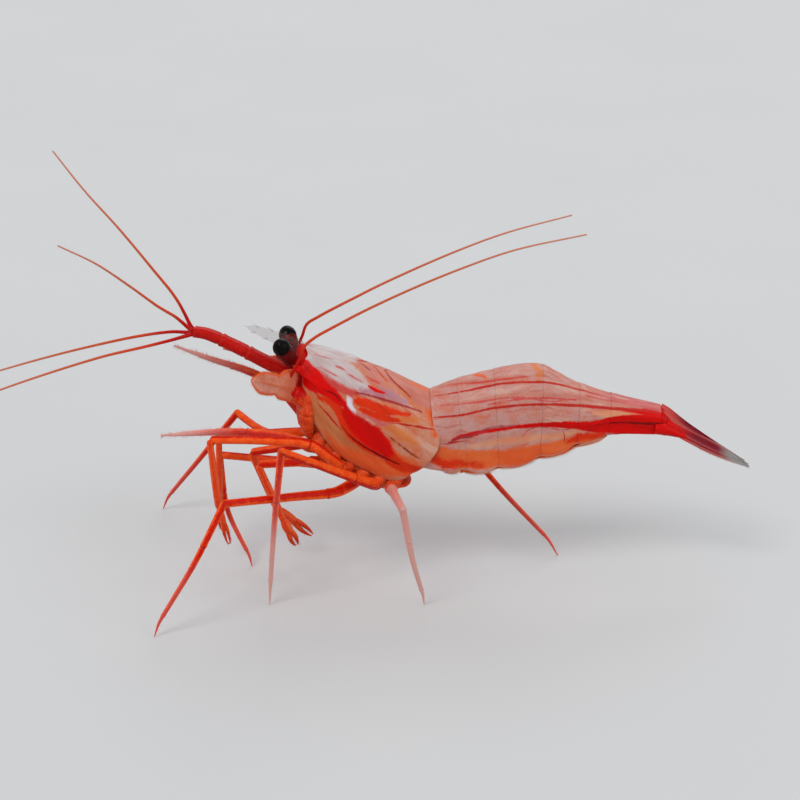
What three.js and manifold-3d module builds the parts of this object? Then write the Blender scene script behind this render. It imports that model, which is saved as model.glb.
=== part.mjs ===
// A cleaner shrimp (peppermint shrimp) standing alert on its walking legs, at life size in millimetres.
// Its head is towards -X, its back towards +Z and its left side towards -Y, with its feet on Z = 0.
// Every piece is a closed solid lofted through rings: 0 is the first ring, at the root of the piece.
import * as THREE from "three";
import { mergeVertices } from "three/addons/utils/BufferGeometryUtils.js";
import Module from "manifold-3d";

const wasm = await Module();
wasm.setup();

// ---- Driving dimensions -------------------------------------------------------------------------

const SIDES = [{ name: "left", side: -1 }, { name: "right", side: 1 }];
const JOINT_GAP = 0.12; // clear space between neighbouring plates

// The carapace is drawn in its own frame: along runs backward from the orbit, down towards the belly.
const ORBIT = new THREE.Vector3(-10.3, 0, 26.4);
const HEAD_PITCH = THREE.MathUtils.degToRad(19); // the head is carried higher than the tail
const BODY_SEGMENTS = 20;
const FOOT_RADIUS = 0.26;
const JOINT_STEP = 0.72; // from the end of an arm or thigh to the start of the forearm or shin

// Stations of the beak (rostrum) and carapace: along, top and bottom edge, half width, how far the
// bottom lies behind the top, and how far the sides of the rear edge reach back over the tail.
const CARAPACE = [
  { along: -6.5, top: -0.5, bottom: 0.02, half: 0.26, slant: 0, flare: 0 },
  { along: -5.0, top: -0.7, bottom: 0.3, half: 0.3, slant: 0, flare: 0 },
  { along: -2.6, top: -0.78, bottom: 0.75, half: 0.38, slant: 0, flare: 0 },
  { along: -0.5, top: -0.6, bottom: 1.2, half: 0.6, slant: 0, flare: 0 },
  { along: 0.1, top: -0.3, bottom: 5.3, half: 2.3, slant: 1.5, flare: 0 },
  { along: 1.2, top: -0.1, bottom: 6.2, half: 3.0, slant: 1.3, flare: 0 },
  { along: 2.8, top: 0, bottom: 7.15, half: 3.45, slant: 0.9, flare: 0 },
  { along: 4.8, top: 0, bottom: 8.35, half: 3.75, slant: 0.4, flare: 0 },
  { along: 7.2, top: -0.05, bottom: 9.55, half: 3.95, slant: 0, flare: 0 },
  { along: 9.8, top: -0.1, bottom: 10.15, half: 4.05, slant: 0, flare: 0.2 },
  { along: 12.0, top: -0.08, bottom: 10.5, half: 4.0, slant: 0, flare: 0.9 },
  { along: 14.0, top: 0, bottom: 10.5, half: 3.8, slant: 0, flare: 2.2 },
];

// The belly side of the thorax, which carries the legs: along, depth below the carapace, half width.
const THORAX = [
  { along: 2.6, depth: 0.95, half: 1.3 },
  { along: 3.8, depth: 1.9, half: 1.75 },
  { along: 5.2, depth: 2.2, half: 2.0 },
  { along: 8.4, depth: 1.75, half: 2.15 },
  { along: 11.8, depth: 1.65, half: 2.2 },
  { along: 14.0, depth: 1.5, half: 2.1 },
  { along: 15.0, depth: 0.9, half: 1.8 },
];

// The seven borders of the six tail segments: x and z on the back, x and z at the lower edge, half
// width. The back arches to a hump at the end of the third segment.
const TAIL_BORDERS = [
  { back: [3.4, 21.7], edge: [4.3, 14.3], half: 3.35 },
  { back: [6.1, 22.55], edge: [6.9, 13.95], half: 3.6 },
  { back: [10.0, 23.65], edge: [10.6, 14.3], half: 3.6 },
  { back: [15.2, 24.35], edge: [15.0, 15.3], half: 3.3 },
  { back: [19.2, 22.3], edge: [18.9, 16.3], half: 2.8 },
  { back: [22.6, 21.05], edge: [22.3, 17.1], half: 2.25 },
  { back: [28.1, 19.65], edge: [28.2, 16.85], half: 1.5 },
];
const FLAP_DROP = [0.4, 0.6, 0.6, 0.5, 0.3, 0]; // how far each side flap hangs below its borders
const HOLLOW = [0.2, 0.25, 0.22, 0.2, 0.15, 0.02]; // how far the belly rises between them, in half heights
const RINGS_PER_SEGMENT = 5;
const SWIMMERET = {
  halfHeights: [0.9, 0.75, 0.62, 0.5, 0.42],
  halfThickness: 0.42,
  side: 1.55,
  sink: 0.15,
  lean: 0.3,
};

// The stems of the two pairs of feelers, from the head outward, as on the right side.
const ANTENNULE_STEM = [
  [-11.75, 0.8, 23.6], [-13.85, 0.8, 24.7], [-18.05, 0.85, 27], [-20.55, 0.85, 28.15], [-21.9, 0.85, 28.4],
];
const ANTENNA_STEM = [[-11, 2.35, 21.9], [-12, 2.75, 22.6], [-13.1, 3.1, 23.2]];
const ANTENNULE_STAGGER = 0.5; // the right antennule is held this much lower than the left

const EYE = { centre: [-12.2, 2.6, 27.2], radius: 1.0, stalkRoot: [-11.35, 1.25, 24.75] };

// ---- Solids -------------------------------------------------------------------------------------

// A closed loft: place(ring, cosine, sine) gives a point of the surface, and both are 0 at the middle
// of the two end caps.
function loft(sides, rings, place) {
  const tube = new THREE.CylinderGeometry(1, 1, 1, sides, rings - 1);
  tube.deleteAttribute("normal");
  tube.deleteAttribute("uv");
  const geometry = mergeVertices(tube, 1e-4);
  const vertices = geometry.getAttribute("position");
  for (let i = 0; i < vertices.count; i += 1) {
    const ring = Math.round((vertices.getY(i) + 0.5) * (rings - 1));
    const point = place(ring, vertices.getZ(i), vertices.getX(i));
    vertices.setXYZ(i, point.x, point.y, point.z);
  }
  return geometry;
}

// A value part of the way along a list of evenly spaced ones.
function along(values, fraction) {
  const place = THREE.MathUtils.clamp(fraction, 0, 1) * (values.length - 1);
  const before = Math.min(Math.floor(place), values.length - 2);
  return THREE.MathUtils.lerp(values[before], values[before + 1], place - before);
}

function vectors(points) {
  return points.map((point) => new THREE.Vector3(...point));
}

// A round limb or feeler along a smooth line through its joints, with its radius from root to tip. A
// foot ends in a small flat parallel to the ground.
function limb(points, radii, { sides = 8, rings = 10, foot = false } = {}) {
  const line = new THREE.CatmullRomCurve3(vectors(points), false, "centripetal");
  const { normals, binormals } = line.computeFrenetFrames(rings - 1);
  if (foot) {
    const down = new THREE.Vector3(0, 0, -1);
    normals[rings - 1].setZ(0).normalize();
    binormals[rings - 1].crossVectors(down, normals[rings - 1]);
  }
  return loft(sides, rings, (ring, cosine, sine) => {
    const fraction = ring / (rings - 1);
    const radius = along(radii, fraction);
    return line.getPointAt(fraction)
      .addScaledVector(normals[ring], radius * cosine)
      .addScaledVector(binormals[ring], radius * sine);
  });
}

// A thin blade from root to tip: its half widths lie along the across direction, and the bow is how
// far its middle stands off the straight line.
function blade({ root, tip, across, halfWidths, halfThicknesses, bow = [0, 0, 0], rings = 8 }) {
  const [start, end, wide, sag] = vectors([root, tip, across, bow]);
  const forward = end.clone().sub(start).normalize();
  wide.addScaledVector(forward, -wide.dot(forward)).normalize();
  const thick = new THREE.Vector3().crossVectors(wide, forward);
  if (thick.z < 0) {
    thick.negate();
    wide.negate();
  }
  return loft(8, rings, (ring, cosine, sine) => {
    const fraction = ring / (rings - 1);
    return start.clone().lerp(end, fraction)
      .addScaledVector(sag, Math.sin(Math.PI * fraction))
      .addScaledVector(thick, along(halfThicknesses, fraction) * cosine)
      .addScaledVector(wide, along(halfWidths, fraction) * sine);
  });
}

function toManifold(geometry) {
  return new wasm.Manifold(new wasm.Mesh({
    numProp: 3,
    vertProperties: new Float32Array(geometry.getAttribute("position").array),
    triVerts: new Uint32Array(geometry.getIndex().array),
  }));
}

// Joins overlapping solids into one.
function joined(...geometries) {
  const whole = geometries.map(toManifold).reduce((sum, next) => sum.add(next)).getMesh();
  const geometry = new THREE.BufferGeometry();
  geometry.setAttribute("position", new THREE.BufferAttribute(whole.vertProperties, 3));
  geometry.setIndex(new THREE.BufferAttribute(whole.triVerts, 1));
  return geometry;
}

const shrimp = new THREE.Group();

function add(name, geometry, colour, roughness = 0.35) {
  const material = new THREE.MeshStandardMaterial({ color: colour, roughness, metalness: 0 });
  const mesh = new THREE.Mesh(geometry, material);
  mesh.name = name;
  shrimp.add(mesh);
}

// ---- Colours ------------------------------------------------------------------------------------

const SHELL_RED = 0xb8332a;
const SHELL_PINK = 0xd0806c;
const TAIL_CRIMSON = 0x8a1a20;
const LEG_ORANGE = 0xc8502c;
const FEELER_RED = 0xb4101a;
const EYE_BLACK = 0x0c0a0a;

// ---- Carapace and thorax ------------------------------------------------------------------------

function headPoint(alongBack, across, down) {
  const cos = Math.cos(HEAD_PITCH);
  const sin = Math.sin(HEAD_PITCH);
  return new THREE.Vector3(
    ORBIT.x + alongBack * cos - down * sin,
    across,
    ORBIT.z - alongBack * sin - down * cos,
  );
}

// The cross-section of a shell plate: an arch above, and below it fuller sides that tuck in a little.
function shellSection(cosine, sine) {
  if (cosine >= 0) {
    return { height: cosine, width: Math.sign(sine) * Math.abs(sine) ** 0.9 };
  }
  const tuck = 1 - 0.16 * cosine * cosine;
  return { height: -(Math.abs(cosine) ** 0.75), width: Math.sign(sine) * Math.abs(sine) ** 0.65 * tuck };
}

function carapace() {
  return loft(BODY_SEGMENTS, CARAPACE.length, (ring, cosine, sine) => {
    const { along: back, top, bottom, half, slant, flare } = CARAPACE[ring];
    const { height, width } = shellSection(cosine, sine);
    const lowness = (1 - height) / 2;
    return headPoint(
      back + slant * lowness + flare * sine * sine,
      -half * width,
      THREE.MathUtils.lerp(top, bottom, lowness),
    );
  });
}

// How far down the carapace's underside lies, that far behind the orbit.
function undersideAt(place) {
  const back = Math.min(place, CARAPACE.at(-1).along);
  const next = CARAPACE.findIndex((station) => station.along >= back);
  const [before, after] = [CARAPACE[next - 1], CARAPACE[next]];
  const share = (back - before.along) / (after.along - before.along);
  return THREE.MathUtils.lerp(before.bottom, after.bottom, share);
}

function thorax() {
  return loft(12, THORAX.length, (ring, cosine, sine) => {
    const { along: back, depth, half } = THORAX[ring];
    const boxy = (value) => Math.sign(value) * Math.abs(value) ** 0.6;
    return headPoint(
      back,
      -half * boxy(sine),
      undersideAt(back) + 2 * JOINT_GAP + depth * (1 - boxy(cosine)) / 2,
    );
  });
}

add("carapace", carapace(), SHELL_RED);
add("thorax", thorax(), LEG_ORANGE);

// ---- Tail segments ------------------------------------------------------------------------------

const backLine = new THREE.CatmullRomCurve3(vectors(TAIL_BORDERS.map(({ back: [x, z] }) => [x, 0, z])));
const edgeLine = new THREE.CatmullRomCurve3(vectors(TAIL_BORDERS.map(({ edge: [x, z] }) => [x, 0, z])));
const tailHalfWidths = TAIL_BORDERS.map(({ half }) => half);

// The cross-section of a tail segment, in half heights and half widths: an arch over the back, two
// side flaps, and the belly raised between them.
function tailShape(cosine, sine, hollow) {
  const turn = Math.atan2(Math.abs(sine), cosine) / Math.PI;
  if (cosine === 0 && sine === 0) {
    return { height: 0, width: 0 };
  }
  if (turn <= 0.5) {
    return { height: cosine, width: sine };
  }
  if (turn <= 0.8) {
    const down = (turn - 0.5) / 0.3;
    return { height: -(down ** 1.1), width: Math.sign(sine) * (1 - 0.13 * down * down) };
  }
  const inward = Math.min((turn - 0.8) / 0.2, 1);
  const rise = hollow * Math.sin((Math.PI / 2) * inward);
  return { height: rise - 1, width: Math.sign(sine) * 0.87 * (1 - inward) };
}

// The frame of the tail's section at a place counted in segments: 0 is its front, 6 its rear.
function tailSection(place) {
  const fraction = place / (TAIL_BORDERS.length - 1);
  const segment = Math.min(Math.floor(place), FLAP_DROP.length - 1);
  const swell = Math.sin(Math.PI * (place - segment));
  const back = backLine.getPoint(fraction);
  const edge = edgeLine.getPoint(fraction);
  const up = back.clone().sub(edge).normalize();
  edge.addScaledVector(up, -FLAP_DROP[segment] * swell);
  return { back, edge, half: along(tailHalfWidths, fraction) + 0.06 * swell };
}

function tailSegment(index) {
  const [front, rear] = [index, index + 1].map((place) => tailSection(place).back);
  const cut = JOINT_GAP / 2 / front.distanceTo(rear);
  return loft(BODY_SEGMENTS, RINGS_PER_SEGMENT, (ring, cosine, sine) => {
    const place = index + THREE.MathUtils.lerp(cut, 1 - cut, ring / (RINGS_PER_SEGMENT - 1));
    const { back, edge, half } = tailSection(place);
    const { height, width } = tailShape(cosine, sine, HOLLOW[index]);
    const point = edge.clone().lerp(back, (1 + height) / 2);
    return point.setY(-half * width);
  });
}

FLAP_DROP.forEach((drop, index) => {
  add(`abdomen_${index + 1}`, tailSegment(index), SHELL_PINK);
});

// Swimmerets: a leaf on each side under the first five segments, folded forward along the belly.
SWIMMERET.halfHeights.forEach((halfHeight, index) => {
  const root = tailSection(index + 0.9).edge;
  const tip = tailSection(index + 0.02).edge;
  const level = tailSection(index + 0.5).edge.z - SWIMMERET.sink;
  const slope = (root.z - tip.z) / 2;
  for (const { name, side } of SIDES) {
    const y = side * SWIMMERET.side;
    add(
      `swimmeret_${index + 1}_${name}`,
      blade({
        root: [root.x, y, level + slope],
        tip: [tip.x, y * 1.1, level - slope - SWIMMERET.lean],
        across: [0, 0, 1],
        halfWidths: [0.5, 0.95, 1, 0.85, 0.45].map((share) => share * halfHeight),
        halfThicknesses: [0.8, 1, 0.9, 0.75, 0.6].map((share) => share * SWIMMERET.halfThickness),
        rings: 5,
      }),
      LEG_ORANGE,
    );
  }
});

// ---- Tail fan: the telson between two uropods, folded together and sloping down ------------------

const telson = blade({
  root: [28.45, 0, 18.75],
  tip: [36.2, 0, 13.95],
  across: [0, 1, 0],
  halfWidths: [1.1, 1.0, 0.85, 0.66, 0.45],
  halfThicknesses: [0.75, 0.52, 0.4, 0.32, 0.26],
});
add("telson", telson, TAIL_CRIMSON);

for (const { name, side } of SIDES) {
  const uropod = blade({
    root: [28.5, side * 1.45, 17.3],
    tip: [37.5, side * 1.35, 13.5],
    across: [0.05, side * 0.99, -0.12],
    halfWidths: [0.45, 0.8, 0.98, 1.0, 0.88, 0.45],
    halfThicknesses: [0.4, 0.4, 0.36, 0.32, 0.27, 0.25],
    bow: [0, side * 0.48, 0.05],
  });
  add(`uropod_${name}`, uropod, TAIL_CRIMSON);
}

// ---- Eyes, antennules and antennae --------------------------------------------------------------

for (const { name, side } of SIDES) {
  const [centre, stalkRoot] = vectors([EYE.centre, EYE.stalkRoot]);
  centre.y *= side;
  stalkRoot.y *= side;
  const eye = new THREE.SphereGeometry(EYE.radius, 14, 9).translate(centre.x, centre.y, centre.z);
  add(`eye_${name}`, eye, EYE_BLACK, 0.1);
  const toRoot = stalkRoot.clone().sub(centre).normalize();
  const cup = centre.clone().addScaledVector(toRoot, EYE.radius + 0.05);
  const stalk = limb([stalkRoot.toArray(), cup.toArray()], [0.6, 0.72, 0.82], { sides: 10, rings: 4 });
  add(`eyestalk_${name}`, stalk, TAIL_CRIMSON);

  const lower = side > 0 ? ANTENNULE_STAGGER : 0;
  const stem = ANTENNULE_STEM.map(([x, y, z]) => [x, side * y, z - lower]);
  add(`antennule_base_${name}`, limb(stem, [0.7, 0.68, 0.62, 0.58, 0.55]), FEELER_RED);
  const socket = ANTENNA_STEM.map(([x, y, z]) => [x, side * y, z]);
  add(`antenna_base_${name}`, limb(socket, [0.95, 0.9, 0.7], { rings: 6 }), LEG_ORANGE);
}

// Feelers curve differently on the two sides, so each has its own line from root to tip.
const FEELERS = {
  antennule_outer_left: [
    [-22.3, -0.95, 28.85], [-23.8, -1.5, 30.45], [-25.2, -1.9, 31.5],
    [-28.3, -3, 34.4], [-31.4, -4.2, 37.15], [-35, -5.9, 39.7],
  ],
  antennule_outer_right: [
    [-22.25, 0.9, 28.35], [-23.8, 1.1, 31.5], [-26.2, 1.4, 34.7],
    [-29.7, 1.9, 39.1], [-33.1, 2.6, 42.9], [-36.4, 3.6, 47],
  ],
  antennule_inner_left: [
    [-22.35, -1.05, 28.15], [-24.4, -1.4, 27.65], [-27.5, -2, 27.05],
    [-31.6, -2.8, 26.3], [-41.9, -6, 23.85], [-49.5, -8.6, 21.4],
  ],
  antennule_inner_right: [
    [-22.35, 1.05, 27.65], [-24.3, 1.15, 27.7], [-27.8, 1.5, 27.1],
    [-33, 2.5, 25.6], [-39, 4, 23.5], [-50, 6.8, 19.2],
  ],
  antenna_left: [
    [-12.9, -3.25, 24.3], [-12.1, -3.9, 25], [-10.8, -4.1, 26.4], [-9.9, -3.9, 28.1],
    [-6.05, -3.9, 30.6], [-0.2, -4.2, 33.75], [6.2, -4.8, 36.8], [11.8, -5.5, 39.1], [19, -6.8, 41.2],
  ],
  antenna_right: [
    [-12.9, 3.25, 24.3], [-12.1, 3.9, 25], [-11, 4, 26.1], [-10.3, 3.7, 27.4],
    [-4.3, 4, 30.85], [0.2, 5, 32.8], [6.45, 6, 35.3], [11.5, 7, 36.9], [18.6, 8.8, 38.3],
  ],
};
for (const [name, line] of Object.entries(FEELERS)) {
  const rings = name.startsWith("antenna_") ? 24 : 17;
  add(name, limb(line, [0.32, 0.28, 0.26, 0.25], { sides: 6, rings }), FEELER_RED);
}

// The antennal scales: the left one is turned outward, the right one lies forward.
const SCALES = {
  left: {
    root: [-12.35, -4.05, 23.35],
    tip: [-15.4, -7.2, 25.4],
    across: [0.13, 0.27, 0.96],
    halfWidths: [0.45, 0.95, 1.2, 1.2, 0.8],
  },
  right: {
    root: [-13, 4.15, 23.15],
    tip: [-19.2, 5, 24.4],
    across: [0.1, 0.93, -0.37],
    halfWidths: [0.5, 1.1, 1.35, 1.3, 0.85],
  },
};
for (const [sideName, shape] of Object.entries(SCALES)) {
  const scale = blade({ ...shape, halfThicknesses: [0.3, 0.28, 0.26, 0.25] });
  add(`antennal_scale_${sideName}`, scale, LEG_ORANGE);
}

// ---- Limbs under the head and thorax ------------------------------------------------------------

// Where each pair of limbs leaves the thorax: x, distance from the middle, z.
const ROOTS = {
  maxilliped: [-9.1, 2.35, 15.7],
  first: [-7.3, 2.65, 14.4],
  second: [-5.8, 2.55, 13.4],
  third: [-4.2, 2.6, 12.45],
  fourth: [-2.6, 2.68, 11.7],
  fifth: [-1.0, 2.45, 11.35],
};

function rootOf(pair, sideName) {
  const [x, y, z] = ROOTS[pair];
  return [x, sideName === "left" ? -y : y, z];
}

// The third maxillipeds, in front of the mouth: the left one points forward, the right one is raised.
const MAXILLIPEDS = {
  left: {
    line: [[-12, -3.1, 17.2], [-18, -3.9, 18.2], [-25.4, -4.6, 18.1]],
    radii: [0.5, 0.5, 0.42, 0.27],
  },
  right: {
    line: [[-11.1, 2.35, 18.3], [-13.1, 2.3, 20.8], [-16.2, 2.2, 22.7], [-20.3, 2.1, 24.2], [-24.3, 2, 25.8]],
    radii: [0.5, 0.48, 0.4, 0.32, 0.26],
  },
};
for (const [sideName, { line, radii }] of Object.entries(MAXILLIPEDS)) {
  const maxilliped = limb([rootOf("maxilliped", sideName), ...line], radii);
  add(`maxilliped_${sideName}`, maxilliped, LEG_ORANGE);
}

// Two pairs of slender claw legs: an arm to the elbow, then a forearm that ends in pincers.
const CLAW_LEGS = {
  first_left: {
    arm: [[-9.4, -3.6, 14.7]],
    elbow: [-15.1, -5, 14.9],
    wrist: [-13.3, -5.5, 9],
    tip: [-10.9, -5.5, 5.9],
  },
  first_right: {
    arm: [[-9.6, 2.7, 14.1]],
    elbow: [-16.4, 3, 12.9],
    wrist: [-13.8, 3, 6.2],
    tip: [-9.6, 3.1, 3.1],
  },
  second_left: {
    arm: [[-7.3, -4.2, 15.1], [-9.4, -4.7, 17], [-14, -5.3, 17.8]],
    elbow: [-20.1, -6, 18.2],
    wrist: [-19.6, -7, 10.5],
    tip: [-18, -7, 6.6],
  },
  second_right: {
    arm: [[-7.3, 4.2, 14], [-9.6, 4.5, 14.6], [-14, 4.4, 14.6]],
    elbow: [-19.9, 3.6, 14.3],
    wrist: [-20, 2.2, 7.8],
    tip: [-19.5, 1.3, 4.4],
  },
};
const CLAW = { first: { palm: 0.55, share: 0.5 }, second: { palm: 0.36, share: 0.45 } };

// A forearm and its claw in one: the fixed finger carries on the limb's line, the other opens from it.
function forearm(elbow, wrist, tip, { palm, share }) {
  const [start, joint, end] = vectors([elbow, wrist, tip]);
  const reach = end.clone().sub(joint);
  const apart = new THREE.Vector3(0, 0, 1).cross(reach).cross(reach).normalize();
  const point = (fraction, open) => {
    return joint.clone().addScaledVector(reach, fraction).addScaledVector(apart, open * palm).toArray();
  };
  const middle = start.clone().lerp(joint, 0.5).toArray();
  const hand = limb(
    [elbow, middle, wrist, point(0.3, 0), point(0.6, 0.25), point(1, 0.1)],
    [0.34, 0.36, 0.4, 0.45, palm, palm * 0.95, 0.25],
    { sides: 6 },
  );
  const finger = limb(
    [point(share, -0.1), point(0.75, -1), point(0.97, -0.75)],
    [palm * 0.6, palm * 0.5, 0.25],
    { sides: 6, rings: 4 },
  );
  return joined(hand, finger);
}

// The point where a limb goes on past its bent joint.
function beyond(joint, next) {
  const [from, to] = vectors([joint, next]);
  return from.addScaledVector(to.sub(from).normalize(), JOINT_STEP).toArray();
}

for (const [name, { arm, elbow, wrist, tip }] of Object.entries(CLAW_LEGS)) {
  const [pair, sideName] = name.split("_");
  const upper = limb([rootOf(pair, sideName), ...arm, elbow], [0.55, 0.5, 0.45, 0.42]);
  add(`${pair}_arm_${sideName}`, upper, LEG_ORANGE);
  const lower = forearm(beyond(elbow, wrist), wrist, tip, CLAW[pair]);
  add(`${pair}_claw_${sideName}`, lower, LEG_ORANGE);
}

// Three pairs of walking legs: a thigh to the knee, and a shin that ends in a small flat foot.
const WALKING_LEGS = {
  third_left: {
    thigh: [[-6.4, -5, 11.85], [-11.2, -8.2, 12.6]],
    knee: [-18.3, -12, 13.5],
    calf: [-21.3, -14.3, 7.9],
    foot: [-25.7, -15.9],
  },
  third_right: {
    thigh: [[-5.8, 4.1, 12.5], [-15.3, 9.2, 12.85]],
    knee: [-18.4, 12, 13.9],
    calf: [-22.9, 14.3, 7.4],
    foot: [-27.7, 16.2],
  },
  fourth_left: {
    thigh: [[-3.4, -4.3, 12.5]],
    knee: [-12.3, -11, 19],
    calf: [-13.3, -9.9, 9.5],
    foot: [-14, -8.5],
  },
  fourth_right: {
    thigh: [[-4.2, 3.9, 10.8]],
    knee: [-20.1, 6, 11.3],
    calf: [-19.2, 3.7, 5.7],
    foot: [-16.4, 0.8],
  },
  fifth_left: {
    thigh: [[-0.9, -4, 11.6]],
    knee: [0.3, -11.5, 12.5],
    calf: [1.3, -10.4, 6.4],
    foot: [2.6, -8.5],
  },
  fifth_right: {
    thigh: [[0, 4, 12]],
    knee: [5, 9, 14],
    calf: [11.1, 6.4, 7.2],
    foot: [17.7, 3.6],
  },
};

for (const [name, { thigh, knee, calf, foot }] of Object.entries(WALKING_LEGS)) {
  const [pair, sideName] = name.split("_");
  const upper = limb([rootOf(pair, sideName), ...thigh, knee], [0.6, 0.5, 0.48, 0.44]);
  add(`${pair}_thigh_${sideName}`, upper, LEG_ORANGE);
  const [x, y] = foot;
  const ankle = [THREE.MathUtils.lerp(x, calf[0], 0.03), THREE.MathUtils.lerp(y, calf[1], 0.03), 0.7];
  const shin = [beyond(knee, calf), calf, ankle, [x, y, 0]];
  const radii = [0.42, 0.38, 0.34, 0.3, FOOT_RADIUS];
  add(`${pair}_shin_${sideName}`, limb(shin, radii, { foot: true }), LEG_ORANGE);
}

// The origin is under the middle of the whole animal, on the ground.
const extent = new THREE.Box3().setFromObject(shrimp);
const middle = extent.getCenter(new THREE.Vector3());
shrimp.position.set(-middle.x, -middle.y, -extent.min.z);

export default shrimp;
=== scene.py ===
"""The looks of a peppermint shrimp, one of the cleaner shrimps, at life size on its CAD solids.

Every CAD node but the eyes and the claws is a loft, so its rings are read back from the frame, and
finely shaped skins, plates and limbs are drawn through them. All modelling is in millimetres, in the
frame's own axes: -X is forward, -Y is the animal's left and the camera's side, and +Z is up.
"""

import math

import bmesh
import bpy
import numpy as np
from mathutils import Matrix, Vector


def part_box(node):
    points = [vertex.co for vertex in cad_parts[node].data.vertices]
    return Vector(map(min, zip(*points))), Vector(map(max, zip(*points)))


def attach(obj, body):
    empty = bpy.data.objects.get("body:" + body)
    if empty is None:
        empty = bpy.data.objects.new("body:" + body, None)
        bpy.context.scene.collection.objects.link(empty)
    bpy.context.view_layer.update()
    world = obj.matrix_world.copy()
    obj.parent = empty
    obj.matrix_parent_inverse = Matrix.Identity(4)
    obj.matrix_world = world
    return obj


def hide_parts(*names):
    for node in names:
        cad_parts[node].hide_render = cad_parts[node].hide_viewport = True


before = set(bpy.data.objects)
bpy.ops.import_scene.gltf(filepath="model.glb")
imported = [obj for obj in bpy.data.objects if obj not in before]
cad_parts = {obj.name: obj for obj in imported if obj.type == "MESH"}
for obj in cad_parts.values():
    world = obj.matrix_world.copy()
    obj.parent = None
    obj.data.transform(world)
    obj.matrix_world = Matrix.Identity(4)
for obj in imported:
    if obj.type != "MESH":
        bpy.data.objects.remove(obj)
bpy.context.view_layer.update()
MM = 0.001
SIDES = {"left": -1, "right": 1}
UP = np.array([0.0, 0, 1])
seeded = np.random.default_rng(11)


# --- Camera and studio ---

CAMERA_DISTANCE = 260
CAMERA_ABOVE = math.radians(22)
CAMERA_LENS = 108.8
EYE_TO_AIM = np.array([12.2, 2.6, -6.9])  # from the left eye to the point that the camera looks at
LAMPS = {  # the way to each lamp, its angle across in radians and its power
    "key_light": ((-0.25, -0.35, 0.55), 0.45, 1.25),
    "fill_light": ((0.45, -0.3, 0.3), 0.6, 0.6),
    "back_light": ((0.1, 0.45, 0.4), 0.6, 0.55),
}
SKY = {"Color": (0.95, 0.97, 1.0, 1), "Strength": 0.68}


def centre_of(node):
    """The middle of a CAD node's box, in millimetres."""
    low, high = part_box(node)
    return np.array((low + high) / 2) / MM


def placed(name, data, place, turn):
    """A new object at a place in millimetres."""
    made = bpy.data.objects.new(name, data)
    made.location = place * MM
    made.rotation_euler = turn
    bpy.context.scene.collection.objects.link(made)
    return made


def add_camera():
    aim = centre_of("eye_left") + EYE_TO_AIM
    away = np.array([0, -math.cos(CAMERA_ABOVE), math.sin(CAMERA_ABOVE)])
    data = bpy.data.cameras.new("camera")
    data.lens, data.clip_start, data.clip_end = CAMERA_LENS, 0.01, 10
    turn = (math.pi / 2 - CAMERA_ABOVE, 0, 0)
    bpy.context.scene.camera = placed("camera", data, aim + CAMERA_DISTANCE * away, turn)


def add_studio(floor_paint):
    bpy.ops.mesh.primitive_plane_add(size=4)
    floor = bpy.context.object
    floor.name = "floor"
    floor.data.materials.append(floor_paint)
    for name, (way, angle, power) in LAMPS.items():
        data = bpy.data.lights.new(name, "SUN")
        data.angle, data.energy = angle, power
        x, y, z = way
        turn = (math.atan2(math.hypot(x, y), z), 0, math.atan2(-x, y) + math.pi)
        placed(name, data, centre_of("carapace") + np.array(way) / MM, turn)
    world = bpy.data.worlds.new("studio")
    world.use_nodes = True
    for socket, value in SKY.items():
        world.node_tree.nodes["Background"].inputs[socket].default_value = value
    bpy.context.scene.world = world


# --- Lines and numbers ---


def unit(vectors):
    return vectors / np.linalg.norm(vectors, axis=-1, keepdims=True)


def curve(values, places, closed=False):
    """Values on a smooth curve through the given ones, numbered from 0, and straight on past its ends."""
    values = np.asarray(values, float)
    places = np.asarray(places, float)
    inside = places if closed else np.clip(places, 0, len(values) - 1)
    before = np.floor(inside).astype(int)
    if not closed:
        before = np.clip(before, 0, len(values) - 2)
        values = np.concatenate([values, 2 * values[-1:] - values[-2:-1], 2 * values[:1] - values[1:2]])
    first, second, third, fourth = (values[(before + step) % len(values)] for step in (-1, 0, 1, 2))
    shape = places.shape + (1,) * (values.ndim - 1)
    share = (inside - before).reshape(shape)
    outside = (places - inside).reshape(shape)
    slope_in, slope_out = (third - first) / 2, (fourth - second) / 2
    bend = 3 * (third - second) - 2 * slope_in - slope_out
    twist = 2 * (second - third) + slope_in + slope_out
    straight_on = np.where(outside < 0, slope_in, slope_out) * outside
    return second + slope_in * share + bend * share**2 + twist * share**3 + straight_on


def lengths_along(line):
    """The distance of each point of a line from its start."""
    return np.concatenate([[0], np.cumsum(np.linalg.norm(np.diff(line, axis=0), axis=1))])


def evenly(points, count):
    """That many evenly spaced points on a smooth line through the given ones."""
    dense = curve(points, np.linspace(0, len(points) - 1, 24 * len(points)))
    reach = lengths_along(dense)
    at = np.linspace(0, reach[-1], count)
    return np.stack([np.interp(at, reach, dense[:, axis]) for axis in range(3)], axis=1)


def mixed(low, high, share):
    return low + (high - low) * share


def shares(count):
    """Numbers from 0 to 1."""
    return np.linspace(0, 1, count)


def profile(values, share):
    """A number between the given ones, which are spread evenly over the shares from 0 to 1."""
    return np.interp(share, shares(len(values)), values)


def step_between(low, high, value):
    """0 below low, 1 above high, and smooth between them."""
    share = np.clip((value - low) / (high - low), 0, 1)
    return share * share * (3 - 2 * share)


def bump(value, centre, width):
    return np.exp(-(((value - centre) / width) ** 2))


# --- Reading the CAD solids ---


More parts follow.
